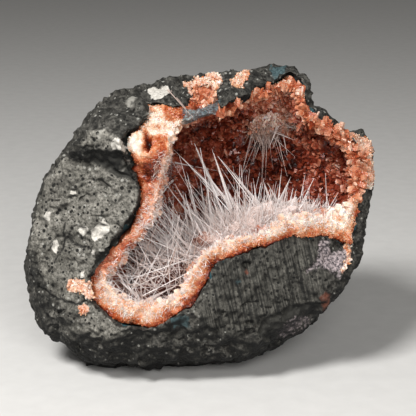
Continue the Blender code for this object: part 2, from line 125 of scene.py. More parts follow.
CELADONITE_PATCHES = [
    [(-12.4, -47.8), (-9.2, -46.9), (-4.6, -47.4), (-5.1, -51.1), (-8.7, -51.5), (-12, -51.1)],
    [(32.2, 67.2), (36.8, 68.5), (40.5, 67.6), (40, 64.9), (34.5, 63.9)],
    [(15.8, -31.4), (17, -30), (18.2, -31), (17.2, -32)],
    [(-8.4, 49.1), (-3.8, 49.5), (0, 49.8), (3.8, 51.3), (7.7, 54.4), (9.4, 51.3), (8.4, 47.3),
     (1.5, 44), (-3.1, 40.9), (-8.1, 40.9)],
]
SCORED_FACETS = [
    [(7.8, -22.5), (13.8, -20.2), (21.6, -18.4), (24.4, -16.1), (32.7, -15), (36.8, -10.9),
     (43.7, -7.2), (47.4, -9.5), (54.3, -10), (53.8, -17.5), (49.7, -25.3), (56.1, -23),
     (59.8, -26.2), (63, -27.6), (62.1, -30.8), (56.1, -34.5), (53.8, -39.1), (47.4, -40.5),
     (41.4, -42.3), (33.6, -46), (27.6, -49.7), (19.8, -53.8), (10.1, -53.4), (1.4, -52),
     (-0.9, -45.1), (2.3, -39.1), (3.7, -30.8), (5.5, -26.7)],
]
# A facet at the lower right that faces down; its dark colour is painted shade
UNDERCUT_FACETS = [
    [(27.6, -49.8), (33.7, -46), (39.9, -42.9), (44.5, -41.4), (53.7, -39.9), (56, -39.5),
     (52.1, -45.2), (46, -51.4), (39.9, -56), (33.7, -59.4), (29.9, -57.5), (27.6, -53.7)],
]
# Sunk breaks: the under-face of the ledge at the upper left and the steep face along the crust at
# the left, both painted dark as painted shadow
BREAKS_WITH_PAINTED_SHADE = [
    [(-52.9, 27.6), (-46.8, 29.5), (-36.8, 27.6), (-29.1, 26.8), (-26.5, 25.3), (-26.5, 14.6),
     (-30.7, 15.3), (-36.8, 17.6), (-44.5, 21.5), (-50.6, 23.8)],
    [(-33.7, -3.8), (-31.2, -2.1), (-32.7, -7.7), (-33.3, -10.7), (-37.3, -17.1), (-42.9, -21.9),
     (-46, -23.5), (-48.9, -22.2), (-48.3, -19.2), (-44.5, -17.6), (-41.4, -13), (-36.8, -6.9)],
]
LILAC_PATCHES = [
    [(54.8, -11.9), (58.3, -13), (59, -15.3), (59.8, -17.5), (64.4, -16.1), (66.3, -13.8),
     (66.8, -17), (65.6, -20.5), (64.9, -25), (62.9, -29.1), (62.1, -26.1), (59.4, -24.5),
     (57.5, -23.4), (54.4, -22.6), (51.4, -24.9), (49.5, -25.7), (49.8, -23.8), (52.9, -21.5),
     (54.4, -17.6)],
    [(36, -55.2), (39.9, -51.4), (44.5, -47.5), (49.8, -46.4), (49.1, -48.3), (44.5, -52.1),
     (39.9, -55.2), (36.8, -56.4)],
]
RUST_SPOTS = [
    [(19.8, -26.2), (21.6, -25.6), (23.4, -26.4), (22.6, -27.9), (20.4, -27.8)],
    [(54.3, -38), (57, -34.5), (59.8, -35.5), (58.5, -40), (55.5, -42.3)],
]
# Cracks are open lines; each pit is its place, its radius and how deep it is
CRACKS = [
    [(-62.6, -3.7), (-63.5, -7.8), (-61.6, -10.6), (-56.1, -14.3), (-50.6, -17)],
    [(-61.6, -10.6), (-64.4, -17), (-66.7, -21.6)],
    [(-78.2, -26.7), (-73.6, -32.2), (-68.1, -37.7), (-57.5, -41.4), (-52.9, -39.1)],
]
PITS = [((21.6, -23.5), 2.4, 2.6), ((10.6, -29.0), 1.0, 0.8), ((12.2, -32.0), 1.2, 0.9),
        ((28.7, -21.3), 0.9, 0.9), ((33.2, -25.0), 1.3, 0.8), ((11.3, -44.5), 1.2, 1.4),
        ((22.5, -49.8), 1.4, 1.2), ((-52.0, 14.0), 1.1, 1.0), ((-44.0, 9.0), 0.9, 0.9)]


def colour(code):
    """An sRGB hex colour as linear red, green, blue and alpha."""
    parts = [int(code[start:start + 2], 16) / 255 for start in (1, 3, 5)]
    return (*[p / 12.92 if p <= 0.04045 else ((p + 0.055) / 1.055) ** 2.4 for p in parts], 1.0)


def add_node(tree, kind, inputs=None, ramp=None, **settings):
    """Adds a shader node with its settings. An input is a value, a hex colour, one of a node's
    outputs, or a node, which then gives its Fac or else its first output; a ramp is a list of
    places and hex colours."""
    made = tree.nodes.new("ShaderNode" + kind)
    for name, value in settings.items():
        setattr(made, name, value)
    for spot, (place, code) in enumerate(ramp or []):
        stops = made.color_ramp.elements
        stop = stops[spot] if spot < 2 else stops.new(place)
        stop.position = place
        stop.color = colour(code)
    for name, value in (inputs or {}).items():
        if isinstance(name, int):
            socket = made.inputs[name]
        else:
            socket = next(each for each in made.inputs if each.enabled and each.name == name)
        if isinstance(value, bpy.types.Node):
            value = value.outputs.get("Fac") or next(
                output for output in value.outputs if output.enabled)
        if isinstance(value, bpy.types.NodeSocket):
            tree.links.new(value, socket)
        else:
            socket.default_value = colour(value) if isinstance(value, str) else value
    return made


def new_material(name):
    """An empty material and its node tree."""
    material = bpy.data.materials.new(name)
    material.use_nodes = True
    material.node_tree.nodes.clear()
    return material, material.node_tree


def place_in_mm(tree):
    """The shaded point's place in millimetres, which the material's patterns read."""
    spot = add_node(tree, "TexCoord")
    return add_node(tree, "VectorMath", {0: spot.outputs["Object"], "Scale": 1 / MM},
                    operation="SCALE")


def merged_copy(node_name):
    """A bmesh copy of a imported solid, its loose triangles joined."""
    bm = bmesh.new()
    bm.from_mesh(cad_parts[node_name].data)
    bmesh.ops.remove_doubles(bm, verts=bm.verts, dist=0.01 * MM)
    return bm


def split_finer(bm, wanted_edges):
    """Splits each edge that is longer than wanted_edges gives for its middle, until none is."""
    for _ in range(7):
        edges = list(bm.edges)
        starts, ends = (np.array([edge.verts[end].co for edge in edges]) for end in (0, 1))
        too_long = np.linalg.norm(ends - starts, axis=1) > wanted_edges((starts + ends) / 2)
        if not too_long.any():
            break
        long_edges = [edges[index] for index in np.flatnonzero(too_long)]
        bmesh.ops.subdivide_edges(bm, edges=long_edges, cuts=1)
        bmesh.ops.triangulate(bm, faces=[face for face in bm.faces if len(face.verts) > 3])
    bmesh.ops.dissolve_degenerate(bm, edges=bm.edges, dist=0.12 * MM)
    bmesh.ops.triangulate(bm, faces=[face for face in bm.faces if len(face.verts) > 3])


def smooth(bm, verts, steps):
    for _ in range(steps):
        bmesh.ops.smooth_vert(bm, verts=verts, factor=0.5, use_axis_x=True, use_axis_y=True,
                              use_axis_z=True)


def mesh_of(bm, name):
    """A bmesh as a named mesh; the bmesh is freed."""
    mesh = bpy.data.meshes.new(name)
    bm.to_mesh(mesh)
    bm.free()
    return mesh


def points_of(mesh):
    found = np.empty(len(mesh.vertices) * 3, np.float32)
    mesh.vertices.foreach_get("co", found)
    return found.reshape(-1, 3).astype(float)


def normals_of(mesh):
    found = np.empty(len(mesh.vertices) * 3, np.float32)
    mesh.vertex_normals.foreach_get("vector", found)
    return found.reshape(-1, 3).astype(float)


def set_points(mesh, places):
    mesh.vertices.foreach_set("co", places.astype(np.float32).ravel())
    mesh.update()


def set_attribute(mesh, name, values):
    """A number at each vertex, which the material reads by this name."""
    made = mesh.attributes.new(name, "FLOAT", "POINT")
    made.data.foreach_set("value", np.asarray(values, np.float32))


def drawn(places):
    """World places as millimetres right, up and toward the viewer from the nodule's centre."""
    turn = np.array(TO_VIEWER)
    return (places @ turn[:3, :3].T + turn[:3, 3]) / MM


def seen(places):
    """Where the viewer sees world places: millimetres across and up at the nodule's centre."""
    local = drawn(places)
    nearer = VIEWER_DISTANCE / (VIEWER_DISTANCE - local[:, 2:])
    return VIEWER_CENTRE + (local[:, :2] - VIEWER_CENTRE) * nearer


def rough(places, wavelength, seed):
    """Smooth noise, about -0.5 to 0.5, with its wavelength in millimetres."""
    shift = Vector((seed * 13.7, seed * 5.1, seed * 9.3))
    step = 1 / (wavelength * MM)
    return np.array([noise.noise(Vector(place) * step + shift) for place in places])


def layered(places, layers):
    """Noise of several wavelengths; each layer is its wavelength, seed and height."""
    return sum(rough(places, wavelength, seed) * height for wavelength, seed, height in layers)


def wander(places):
    """How far the break strays from the solid's plain outlines. Rock and crust share it, so that
    they stay in touch."""
    moves = [layered(places, [(8, axis, 1.5), (2.6, axis + 3, 0.8)]) for axis in range(3)]
    return np.stack(moves, axis=1) * MM


def chips(places):
    """Millimetres that the flat chips of a hammered break rise or fall, with steps between."""
    rng = np.random.default_rng(5)
    centres = places[rng.choice(len(places), CHIPS, replace=False)] / MM
    tilts = rng.normal(0, CHIP_SLOPE, (CHIPS, 3))
    lifts = rng.normal(0, CHIP_STEP, CHIPS)
    tree = KDTree(CHIPS)
    for index, centre in enumerate(centres):
        tree.insert(centre, index)
    tree.balance()
    nearest = [tree.find_n(place, 2) for place in places / MM]
    owners = np.array([[found[1] for found in pair] for pair in nearest])
    reaches = np.array([[found[2] for found in pair] for pair in nearest])
    offsets = places[:, None, :] / MM - centres[owners]
    heights = (tilts[owners] * offsets).sum(axis=2) + lifts[owners]
    share = np.clip(0.5 + reaches[:, 1] - reaches[:, 0], 0.5, 1)
    return np.clip(heights[:, 0] * share + heights[:, 1] * (1 - share), -2.0, 2.0)


def from_line(places, start, end):
    """Millimetres from seen places to a straight line between two points."""
    along = np.array(end) - np.array(start)
    offset = places - np.array(start)
    share = np.clip(offset @ along / (along @ along), 0, 1)
    return np.linalg.norm(offset - share[:, None] * along, axis=1)


def from_outlines(places, outlines):
    """Millimetres from seen places to the nearest closed outline, negative inside one."""
    nearest = np.full(len(places), FAR)
    for outline in outlines:
        gap = np.full(len(places), FAR)
        inside = np.zeros(len(places), bool)
        for start, end in zip(outline, outline[1:] + outline[:1]):
            gap = np.minimum(gap, from_line(places, start, end))
            crosses = (start[1] > places[:, 1]) != (end[1] > places[:, 1])
            rise = (end[1] - start[1]) or 1e-6
            reach = start[0] + (end[0] - start[0]) * (places[:, 1] - start[1]) / rise
            inside ^= crosses & (places[:, 0] < reach)
        nearest = np.minimum(nearest, np.where(inside, -gap, gap))
    return nearest


def rise(values, start, end):
    """From 0 at start to 1 at end, and level beyond both."""
    return np.clip((values - start) / (end - start), 0, 1)


def soft_inside(gap, width):
    """1 well inside an outline and 0 outside, over a soft edge."""
    share = rise(gap, width / 2, -width / 2)
    return share * share * (3 - 2 * share)


def behind_front(places):
    """Millimetres that world places lie behind the broken faces of the crust."""
    local = drawn(places)
    depth = np.full(len(places), 99.0)
    for point, normal, setback in BROKEN_FACES.values():
        facing = np.array(normal) / np.linalg.norm(normal)
        depth = np.minimum(depth, (np.array(point) - local) @ facing - setback)
    return depth


def placed(name, data):
    made = bpy.data.objects.new(name, data)
    bpy.context.scene.collection.objects.link(made)
    return made


def finished_piece(mesh, material, replaced, smooth_shaded=True):
    """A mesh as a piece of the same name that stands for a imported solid."""
    piece = placed(mesh.name, mesh)
    mesh.materials.append(material)
    mesh.polygons.foreach_set("use_smooth", [smooth_shaded] * len(mesh.polygons))
    if smooth_shaded:
        mesh.set_sharp_from_angle(angle=math.radians(SHARP_DEG))
    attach(piece, "root")
    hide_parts(replaced)


crust_solid = merged_copy("crystal_crust")
crust_solid_tree = BVHTree.FromBMesh(crust_solid)
basalt_solid = merged_copy("basalt_shell")
basalt_solid_tree = BVHTree.FromBMesh(basalt_solid)


def near_tree(tree, places, reach):
    """Which world places lie within a reach, in millimetres, of a solid."""
    return np.array([tree.find_nearest(place, reach * MM)[0] is not None for place in places])


def gaps_to(tree, places, most=FAR * MM):
    """Millimetres from world places to a solid, up to a distance."""
    return np.array([(tree.find_nearest(Vector(p), most)[3] or most) / MM for p in places])


def rock_edges(middles):
    """The rock's front is split finest, its back less, and not at all where crust covers it."""
    front = np.where(drawn(middles)[:, 2] > 2, FRONT_EDGE, BACK_EDGE)
    return np.where(near_tree(crust_solid_tree, middles, HIDDEN_GAP), HIDDEN_EDGE, front) * MM


split_finer(basalt_solid, rock_edges)
pinned = set()
for edge in basalt_solid.edges:
    middle = (edge.verts[0].co + edge.verts[1].co) / 2
    gap = crust_solid_tree.find_nearest(middle, 9 * MM)[3]
    if gap is not None and (gap < HIDDEN_GAP * MM or edge.calc_face_angle(0) > 0.55):
        pinned.update(edge.verts)
smooth(basalt_solid, [vertex for vertex in basalt_solid.verts if vertex not in pinned],
       SMOOTHING_STEPS)
basalt_mesh = mesh_of(basalt_solid, "basalt_rock")

places = points_of(basalt_mesh)
facing = drawn(places + normals_of(basalt_mesh) * MM) - drawn(places)
on_screen = seen(places)
# Only what faces the viewer takes the patches, so the far side doesn't show them again
turned_away = np.clip((0.12 - facing[:, 2]) * 40, 0, FAR)
gaps = {}
for name, outlines in (
        ("amygdule", AMYGDULES), ("faint_amygdule", FAINT_AMYGDULES),
        ("crystal_patch", CRYSTAL_PATCHES), ("celadonite", CELADONITE_PATCHES),
        ("scored", SCORED_FACETS), ("undercut", UNDERCUT_FACETS),
        ("break_with_painted_shade", BREAKS_WITH_PAINTED_SHADE), ("lilac", LILAC_PATCHES), ("rust", RUST_SPOTS)):
    gaps[name] = from_outlines(on_screen, outlines) + turned_away
crack_gap = np.full(len(places), FAR)
for line in CRACKS:
    for start, end in zip(line, line[1:]):
        crack_gap = np.minimum(crack_gap, from_line(on_screen, start, end))
gaps["crack"] = crack_gap + turned_away
gaps["contact"] = gaps_to(crust_solid_tree, places)
flat = np.maximum(soft_inside(gaps["scored"], 1.5), soft_inside(gaps["undercut"], 1.5))
# The left face is a fresh break, flatter than the nodule's weathered skin; what faces as it does,
# toward the key light, is painted paler as painted light, and the rest darker
break_normal = np.array(BROKEN_FACES["left"][1]) / np.linalg.norm(BROKEN_FACES["left"][1])
fresh_and_lit_share = rise(facing @ break_normal, *FRESH_AND_LIT_FACING)
crags = rise(on_screen[:, 1], *CRAG_HEIGHTS) * (1 - soft_inside(gaps["amygdule"], 4.0))
relief = layered(places, ROCK_RELIEF)
relief += chips(places) * (1 - 0.7 * soft_inside(gaps["amygdule"], 2.0))
relief *= 1 - FRESH_FLATNESS * fresh_and_lit_share
relief += crags * layered(places, CRAG_RELIEF)
relief *= 1 - FACET_FLATNESS * flat
relief -= CRACK_DEPTH * rise(gaps["crack"], CRACK_WIDTH, 0)
for name, (height, edge) in PATCH_HEIGHTS.items():
    relief += height * soft_inside(gaps[name], edge)
for centre, radius, depth in PITS:
    away = np.linalg.norm(on_screen - np.array(centre), axis=1) / radius
    relief -= depth * np.sqrt(np.clip(1 - away ** 2, 0, 1)) * (turned_away < 1)
# The flat that it rests on stays flat
moved = normals_of(basalt_mesh) * relief[:, None] * MM + wander(places)
places += moved * rise(places[:, 2:], 0, 2.5 * MM)
places[:, 2] = np.maximum(places[:, 2], 0)
set_points(basalt_mesh, places)
for name, values in (*gaps.items(), ("fresh_and_lit", fresh_and_lit_share)):
    set_attribute(basalt_mesh, name, values)

# Basalt, fine grained and weathered: dull, with paler feldspar flecks and small dark gas pits;
# its amygdules are chalky zeolite, and celadonite stains it blue-green along the crust.
basalt, tree = new_material("broken_basalt")
place = place_in_mm(tree)
blotches = add_node(tree, "TexNoise", {"Vector": place, "Scale": 0.07, "Detail": 4.0})
grain = add_node(tree, "TexNoise", {"Vector": place, "Scale": 0.9, "Detail": 5.0,
                                    "Roughness": 0.7})
streaks = add_node(tree, "TexNoise", {"Vector": place, "Scale": 0.32, "Detail": 4.0,
                                      "Roughness": 0.65})
tone = add_node(tree, "ValToRGB", {"Fac": blotches}, ramp=[(0.35, "#6a675f"), (0.65, "#918d84")])
grain_tone = add_node(tree, "ValToRGB", {"Fac": grain},
                      ramp=[(0.33, "#4c4c48"), (0.62, "#ffffff")])
streak_tone = add_node(tree, "ValToRGB", {"Fac": streaks},
                       ramp=[(0.40, "#55544e"), (0.60, "#ffffff")])
rock = add_node(tree, "Mix", {"Factor": 1.0, "A": tone, "B": grain_tone},
                data_type="RGBA", blend_type="MULTIPLY")
fresh_and_lit = add_node(tree, "Attribute", attribute_name="fresh_and_lit")
# Painted light: rock that faces as the left face does is painted paler, and the rest darker
painted_light_by_facing = add_node(tree, "MapRange", {"Value": fresh_and_lit, "To Min": 0.50, "To Max": 1.15})
rock = add_node(tree, "HueSaturation", {"Value": painted_light_by_facing, "Color": rock})
streak_share = add_node(tree, "MapRange", {"Value": fresh_and_lit, "To Min": 0.85, "To Max": 0.35})
rock = add_node(tree, "Mix", {"Factor": streak_share, "A": rock, "B": streak_tone},
                data_type="RGBA", blend_type="MULTIPLY")
rock = add_node(tree, "HueSaturation", {"Value": 1.16, "Color": rock})


def spots(scale, channel, size, start, end, most):
    """Shader mask of round spots strewn at random, each of its own size."""
    cells = add_node(tree, "TexVoronoi", {"Vector": place, "Scale": scale})
    by_chance = add_node(tree, "SeparateColor", {"Color": cells.outputs["Color"]})
    radius = add_node(tree, "Math", {0: by_chance.outputs[channel], 1: size},
                      operation="MULTIPLY")
    gap = add_node(tree, "Math", {0: cells, 1: radius}, operation="SUBTRACT")
    return add_node(tree, "MapRange", {"Value": gap, "From Min": start, "From Max": end,
                                       "To Max": most})


edge_noise = add_node(tree, "TexNoise", {"Vector": place, "Scale": 0.8, "Detail": 3.0})
stray = add_node(tree, "Math", {0: edge_noise, 1: 0.5}, operation="SUBTRACT")


def inside(gap_name, stray_width=1.6, edge=0.25, most=1.0, middle=0.0):
    """Shader mask of an outlined patch, its edge made uneven."""
    gap = add_node(tree, "Attribute", attribute_name=gap_name)
    uneven = add_node(tree, "Math", {0: stray, 1: stray_width, 2: gap},
                      operation="MULTIPLY_ADD")
    return add_node(tree, "MapRange", {"Value": uneven, "From Min": middle + edge,
                                       "From Max": middle - edge, "To Max": most})


# The scores run down the facet, leaning a little to the right, as the viewer sees them
leaning = add_node(tree, "Mapping", {
    "Vector": place, "Rotation": (math.radians(-75), 0, math.radians(-13))})
drawn_out = add_node(tree, "VectorMath", {0: leaning, 1: (1.0, 0.05, 0.08)},
                     operation="MULTIPLY")
score_lines = add_node(tree, "TexNoise", {"Vector": drawn_out, "Scale": 1.15, "Detail": 3.0,
                                          "Roughness": 0.65})
score_tone = add_node(tree, "ValToRGB", {"Fac": score_lines},
                      ramp=[(0.38, "#2b2a26"), (0.62, "#6d6a62")])
scored = add_node(tree, "Mix", {"Factor": 0.8, "A": score_tone, "B": grain_tone},
                  data_type="RGBA", blend_type="MULTIPLY")
# Celadonite also lines the contact with the crust, here and there
contact = add_node(tree, "Attribute", attribute_name="contact")
lining_noise = add_node(tree, "TexNoise", {"Vector": place, "Scale": 0.16})
lining_reach = add_node(tree, "MapRange", {"Value": lining_noise, "From Min": 0.5,
                                           "From Max": 0.62, "To Min": 0.2, "To Max": 1.3})
lining = add_node(tree, "Math", {0: contact, 1: lining_reach}, operation="LESS_THAN")

# What covers the plain rock, from the first to the last: a mask, and a colour or a ramp over
# the rock's grain
pit = spots(0.50, "Green", 0.50, -0.05, -0.12, 1.0)
scored_mask = inside("scored", edge=0.5)
for mask, cover in (
        (spots(0.42, "Red", 0.42, -0.08, -0.14, 0.70), "#a7a59d"),
        (pit, "#1d1c19"),
        (scored_mask, scored),
        (pit, "#1d1c19"),
        # Painted shade on the undercut facet
        (inside("undercut", edge=0.5, most=0.85), "#2b2a26"),
        # Painted shadow on the sunk breaks
        (inside("break_with_painted_shade", 2.2, 0.35, 0.88), "#2b2a26"),
        (inside("faint_amygdule", 2.2, 0.5, 0.65), "#b5b1a7"),
        (inside("amygdule", 1.7, 0.2, 0.97), [(0.35, "#b0aba1"), (0.60, "#e6e0d6")]),
        (inside("crystal_patch", 2.0), [(0.35, "#b9734f"), (0.60, "#e4bfaa")]),
        (inside("celadonite", 3.0, 0.5, 0.85), [(0.35, "#2a3d40"), (0.65, "#566f73")]),
        (lining, "#2c4f55"),
        (inside("lilac", 5.0, 0.8, 0.85), [(0.42, "#4d474b"), (0.60, "#cdbdbd")]),
        (inside("rust", 1.6, 0.4, 0.85), "#6e4030"),
        (inside("crack", 1.1, 0.175, 0.9, middle=0.375), "#1b1a18")):
    if isinstance(cover, list):
        cover = add_node(tree, "ValToRGB", {"Fac": grain}, ramp=cover)
    rock = add_node(tree, "Mix", {"Factor": mask, "A": rock, "B": cover}, data_type="RGBA")
# Painted shade: the rock is painted darker the more it faces down, and paler where it faces up
geometry = add_node(tree, "NewGeometry")
facing_up = add_node(tree, "SeparateXYZ", {"Vector": geometry.outputs["Normal"]})
painted_shade_below = add_node(tree, "MapRange", {"Value": facing_up.outputs["Z"], "From Min": -0.45,
                                        "From Max": 0.25, "To Min": 0.08})
rock = add_node(tree, "HueSaturation", {"Value": painted_shade_below, "Color": rock})
coarse = add_node(tree, "Bump", {"Height": grain, "Distance": 0.55 * MM})
pitted = add_node(tree, "Bump", {"Height": pit, "Strength": 0.8, "Distance": 0.5 * MM,
                                 "Normal": coarse}, invert=True)
scored_height = add_node(tree, "Math", {0: score_lines, 1: scored_mask}, operation="MULTIPLY")
lined = add_node(tree, "Bump", {"Height": scored_height, "Strength": 0.9,
                                "Distance": 1.0 * MM, "Normal": pitted})
shader = add_node(tree, "BsdfPrincipled", {"Base Color": rock, "Roughness": 0.82,
                                           "Specular IOR Level": 0.35, "Normal": lined})
add_node(tree, "OutputMaterial", {"Surface": shader})
finished_piece(basalt_mesh, basalt, "basalt_shell")

# Crust. Heulandite that lined the gas hollow, up to 7 mm thick: it shows in section as a band
# round the opening, red-orange against the rock and paler inwards, and deep red-brown inside, with
# painted shade that darkens it deeper in.
# The mesh is the imported solid, split finer, with its coarse blocks smoothed to a ground.
CRUST_EDGE = 1.8
CRUST_RIM_EDGE = 0.9
RIM_DEPTH = 3.0
CRUST_SMOOTHING_STEPS = 10
CRUST_RELIEF = [(6, 21, 1.2), (2.2, 22, 0.9)]
CRUST_BLOTCHES = [(5, 11, 0.22), (1.6, 12, 0.18)]
CRUST_TONES = [
    (0.00, "#260c07"), (0.14, "#5a1e11"), (0.28, "#8f3f2a"), (0.42, "#b3694f"),
    (0.58, "#cf9880"), (0.75, "#e6cbbc"), (1.00, "#f5ede8"),
]
BAND_TONES = [
    (0.00, "#431206"), (0.14, "#7d2c10"), (0.28, "#ad5128"), (0.42, "#c8794c"),
    (0.58, "#daa27c"), (0.75, "#e9cdb6"), (1.00, "#f5ede5"),
]
# On the hollow's wall: a rosy part of the ceiling, and painted shade over the deep hollow behind
# the tuft
ROSY_AREAS = [
    [(20, 52), (28, 60), (47, 67), (50, 52), (47, 40), (40, 37), (30, 39), (22, 44)],
]
PAINTED_SHADE_AREAS = [
    [(10, 32), (22, 37), (34, 34), (43, 32), (46, 22), (40, 13), (28, 11), (16, 18)],
]
BEIGE_AREAS = [
    [(-19.5, 28), (-12, 28), (-11.5, 17), (-13, 3), (-16, -5), (-20.5, -6), (-22.5, 4),
     (-20.5, 17)],
]
PALE_AREAS = [
    [(-27.6, 49.5), (-14, 50), (-14.7, 45), (-20, 41), (-25.8, 41)],
    [(-28.5, 38.5), (-26.2, 41.5), (-26.5, 30.5), (-30, 28.6), (-33, 28.2), (-34.4, 33.1)],
    [(-15.2, 42.3), (-12.4, 42.3), (-12.4, 31.5), (-15.2, 30.8)],
]
SALMON_AREAS = [
    [(-21, 28), (-11, 28), (-16, 3), (-19, -6), (-30, -16), (-42, -28), (-52, -30), (-48, -20),
     (-38, -12), (-28, 0), (-26, 14)],
]
WARM_AREAS = [
    [(-16.1, 49.5), (-6, 49.5), (-6.9, 45.1), (-13.8, 42.3), (-16.5, 44)],
    [(-26.2, 37.7), (-15.2, 37.7), (-15.2, 28), (-20.2, 23.8), (-26.2, 26.2)],
]
# A painted shadow on the band's broken front at the left, where a small hollow lies
PAINTED_SHADOW_AREAS = [
    [(-26.7, 25.3), (-17.5, 25.3), (-20.2, 16.1), (-26.7, 13.8)],
]
# Each kind of area changes the tone inside the hollow, or has its own tone on the broken front;
# the painted shade areas darken the wall, and the painted shadow areas the front
INNER_CHANGES = ((ROSY_AREAS, 0.13), (PAINTED_SHADE_AREAS, -0.11))
FRONT_TONES = ((SALMON_AREAS, 0.40), (BEIGE_AREAS, 0.56), (PALE_AREAS, 0.72), (WARM_AREAS, 0.30),
               (PAINTED_SHADOW_AREAS, 0.10))
PALEST = 0.72
# Tones by the distance from the rock, by how far right, and by the depth toward the viewer, which
# paints shade darker deeper in the hollow
BAND_BY_GAP = [(0.3, 0.08), (0.8, 0.20), (1.8, 0.34), (3.4, 0.50), (6.5, 0.70)]
BAND_BY_SIDE = [(10, -0.06), (30, -0.02), (55, 0.0)]
UPPER_BY_GAP = [(0.3, 0.20), (1.2, 0.38), (4.0, 0.33)]
INNER_TONE_AND_SHADE_BY_DEPTH = [(-14, 0.19), (20, 0.31)]
# A small hole in the band at the upper left, sunk and painted nearly black inside as painted shade
HOLE_CENTRE = (-24.2, 34.6)
HOLE_SIZE = (2.0, 5.0)
HOLE_DEPTH = 5.2
FRONT_REACH = 6


def crust_edges(middles):
    front = np.where(behind_front(middles) < RIM_DEPTH, CRUST_RIM_EDGE, CRUST_EDGE)
    return np.where(near_tree(basalt_solid_tree, middles, HIDDEN_GAP), HIDDEN_EDGE, front) * MM


split_finer(crust_solid, crust_edges)
smooth(crust_solid, [vertex for vertex in crust_solid.verts if basalt_solid_tree.find_nearest(
    vertex.co, HIDDEN_GAP * MM)[0] is None], CRUST_SMOOTHING_STEPS)
crust_mesh = mesh_of(crust_solid, "crust_ground")


def upper_share(on_screen):
    """1 at the top and the right of the opening, where whole crystals run up to the rock, and 0
    along the lower band, where the crust is broken across."""
    return rise(on_screen[:, 1], 3, 9) * rise(on_screen[:, 0], -8, -2)


def graded(values, stops):
    """What the values give between stops, each a value and what it gives."""
    return np.interp(values, *zip(*stops))


# How pale the crust is: from the rock outwards on its broken edge, and dark inside, with painted
# shade deeper in the hollow
places = points_of(crust_mesh)
on_screen = seen(places)
depths = behind_front(places)
upper = upper_share(on_screen)
rock_gap = gaps_to(basalt_solid_tree, places)
band_tone = graded(rock_gap, BAND_BY_GAP) + graded(on_screen[:, 0], BAND_BY_SIDE)
upper_tone = graded(rock_gap, UPPER_BY_GAP)
# Inside the hollow: painted shade, darker the deeper the wall lies, with tone that differs at
# random
inner_tone = graded(drawn(places)[:, 2], INNER_TONE_AND_SHADE_BY_DEPTH) + rough(places, 14, 13) * 0.10
for areas, change in INNER_CHANGES:
    inner_tone += soft_inside(from_outlines(on_screen, areas), 9.0) * change
# The lower band stays pale a little way in, where the felt starts
deep = np.clip((depths - 2.0 - 4.0 * (1 - upper)) / (4.0 + 7.0 * upper), 0, 1)
tones = (band_tone * (1 - upper) + upper_tone * upper) * (1 - deep) + inner_tone * deep
for areas, value in FRONT_TONES:
    share = soft_inside(from_outlines(on_screen, areas), 2.4) * rise(depths, 9.6, 3.6)
    tones = tones * (1 - share) + value * share
away = (on_screen - np.array(HOLE_CENTRE)) / np.array(HOLE_SIZE)
in_hole = np.clip(1 - np.linalg.norm(away, axis=1) ** 2, 0, 1) * (depths < FRONT_REACH)
# Painted shade: the hole is painted nearly black
tones = (np.minimum(tones, PALEST) + layered(places, CRUST_BLOTCHES)) * (1 - in_hole ** 0.25)
banded = rise(depths, 9, 3) * (0.85 - 0.45 * upper) * (1 - in_hole)
banded *= 1 - 0.6 * soft_inside(from_outlines(on_screen, SALMON_AREAS), 4.0)
stained = soft_inside(from_outlines(on_screen, CELADONITE_PATCHES), 1.5)
stained *= depths < FRONT_REACH
relief = layered(places, CRUST_RELIEF) * rise(rock_gap, HIDDEN_GAP, HIDDEN_GAP + 0.8)
relief -= HOLE_DEPTH * np.sqrt(in_hole)
set_points(crust_mesh, places + normals_of(crust_mesh) * relief[:, None] * MM + wander(places))
for name, values in (("tone", tones), ("tip", np.zeros(len(places))), ("band", banded),
                     ("celadonite", stained * 0.85)):
    set_attribute(crust_mesh, name, values)

# Heulandite: translucent, with a pearly gloss; its colour comes from fine iron oxide, densest
# where the crystals start, so the tips are clearer. The ramps run from red-brown to white.
heulandite, tree = new_material("heulandite_crystal")
place = place_in_mm(tree)
stain = add_node(tree, "TexNoise", {"Vector": place, "Scale": 0.9, "Detail": 3.0})
tone = add_node(tree, "Attribute", attribute_name="tone")
tip = add_node(tree, "Attribute", attribute_name="tip")
tone = add_node(tree, "Math", {0: stain, 1: 0.30, 2: tone}, operation="MULTIPLY_ADD")
tone = add_node(tree, "Math", {0: tip, 1: 0.17, 2: tone}, operation="MULTIPLY_ADD")
tone = add_node(tree, "Math", {0: tone, 1: 0.15}, operation="SUBTRACT")
crystal_colour = add_node(tree, "ValToRGB", {"Fac": tone}, ramp=CRUST_TONES)
for name, level, ramp in (
        ("band", tone, BAND_TONES),
        ("celadonite", stain, [(0.38, "#2f4043"), (0.62, "#668187")])):
    share = add_node(tree, "Attribute", attribute_name=name)
    cover = add_node(tree, "ValToRGB", {"Fac": level}, ramp=ramp)
    crystal_colour = add_node(tree, "Mix", {"Factor": share, "A": crystal_colour, "B": cover},
                              data_type="RGBA")
sugar = add_node(tree, "TexVoronoi", {"Vector": place, "Scale": 1.1})
sugared = add_node(tree, "Bump", {"Height": sugar, "Strength": 0.5, "Distance": 0.3 * MM})
shader = add_node(tree, "BsdfPrincipled", {
    "Base Color": crystal_colour, "Roughness": 0.28, "IOR": 1.5, "Specular IOR Level": 0.4,
    "Subsurface Weight": 0.2, "Subsurface Radius": (1.0, 0.35, 0.2),
    "Subsurface Scale": 0.8 * MM, "Coat Weight": 0.10, "Coat Roughness": 0.10,
    "Normal": sugared})
add_node(tree, "OutputMaterial", {"Surface": shader})
finished_piece(crust_mesh, heulandite, "crystal_crust")
# Crust crystals. Heulandite grows as small tabular blocks, each with its foot on the crust: 1.3
# to 3.6 mm long on the hollow's wall, and down to 0.4 mm where the band is broken across.
WALL_CRYSTALS = 6800
WALL_CRYSTAL_SIZE = (1.3, 3.6)
RIM_CRYSTALS = 8500
RIM_CRYSTAL_SIZE = (0.40, 0.90)
PATCH_CRYSTALS = 1500
PATCH_CRYSTAL_SIZE = (0.5, 1.3)
CRYSTAL_SINK = 0.30


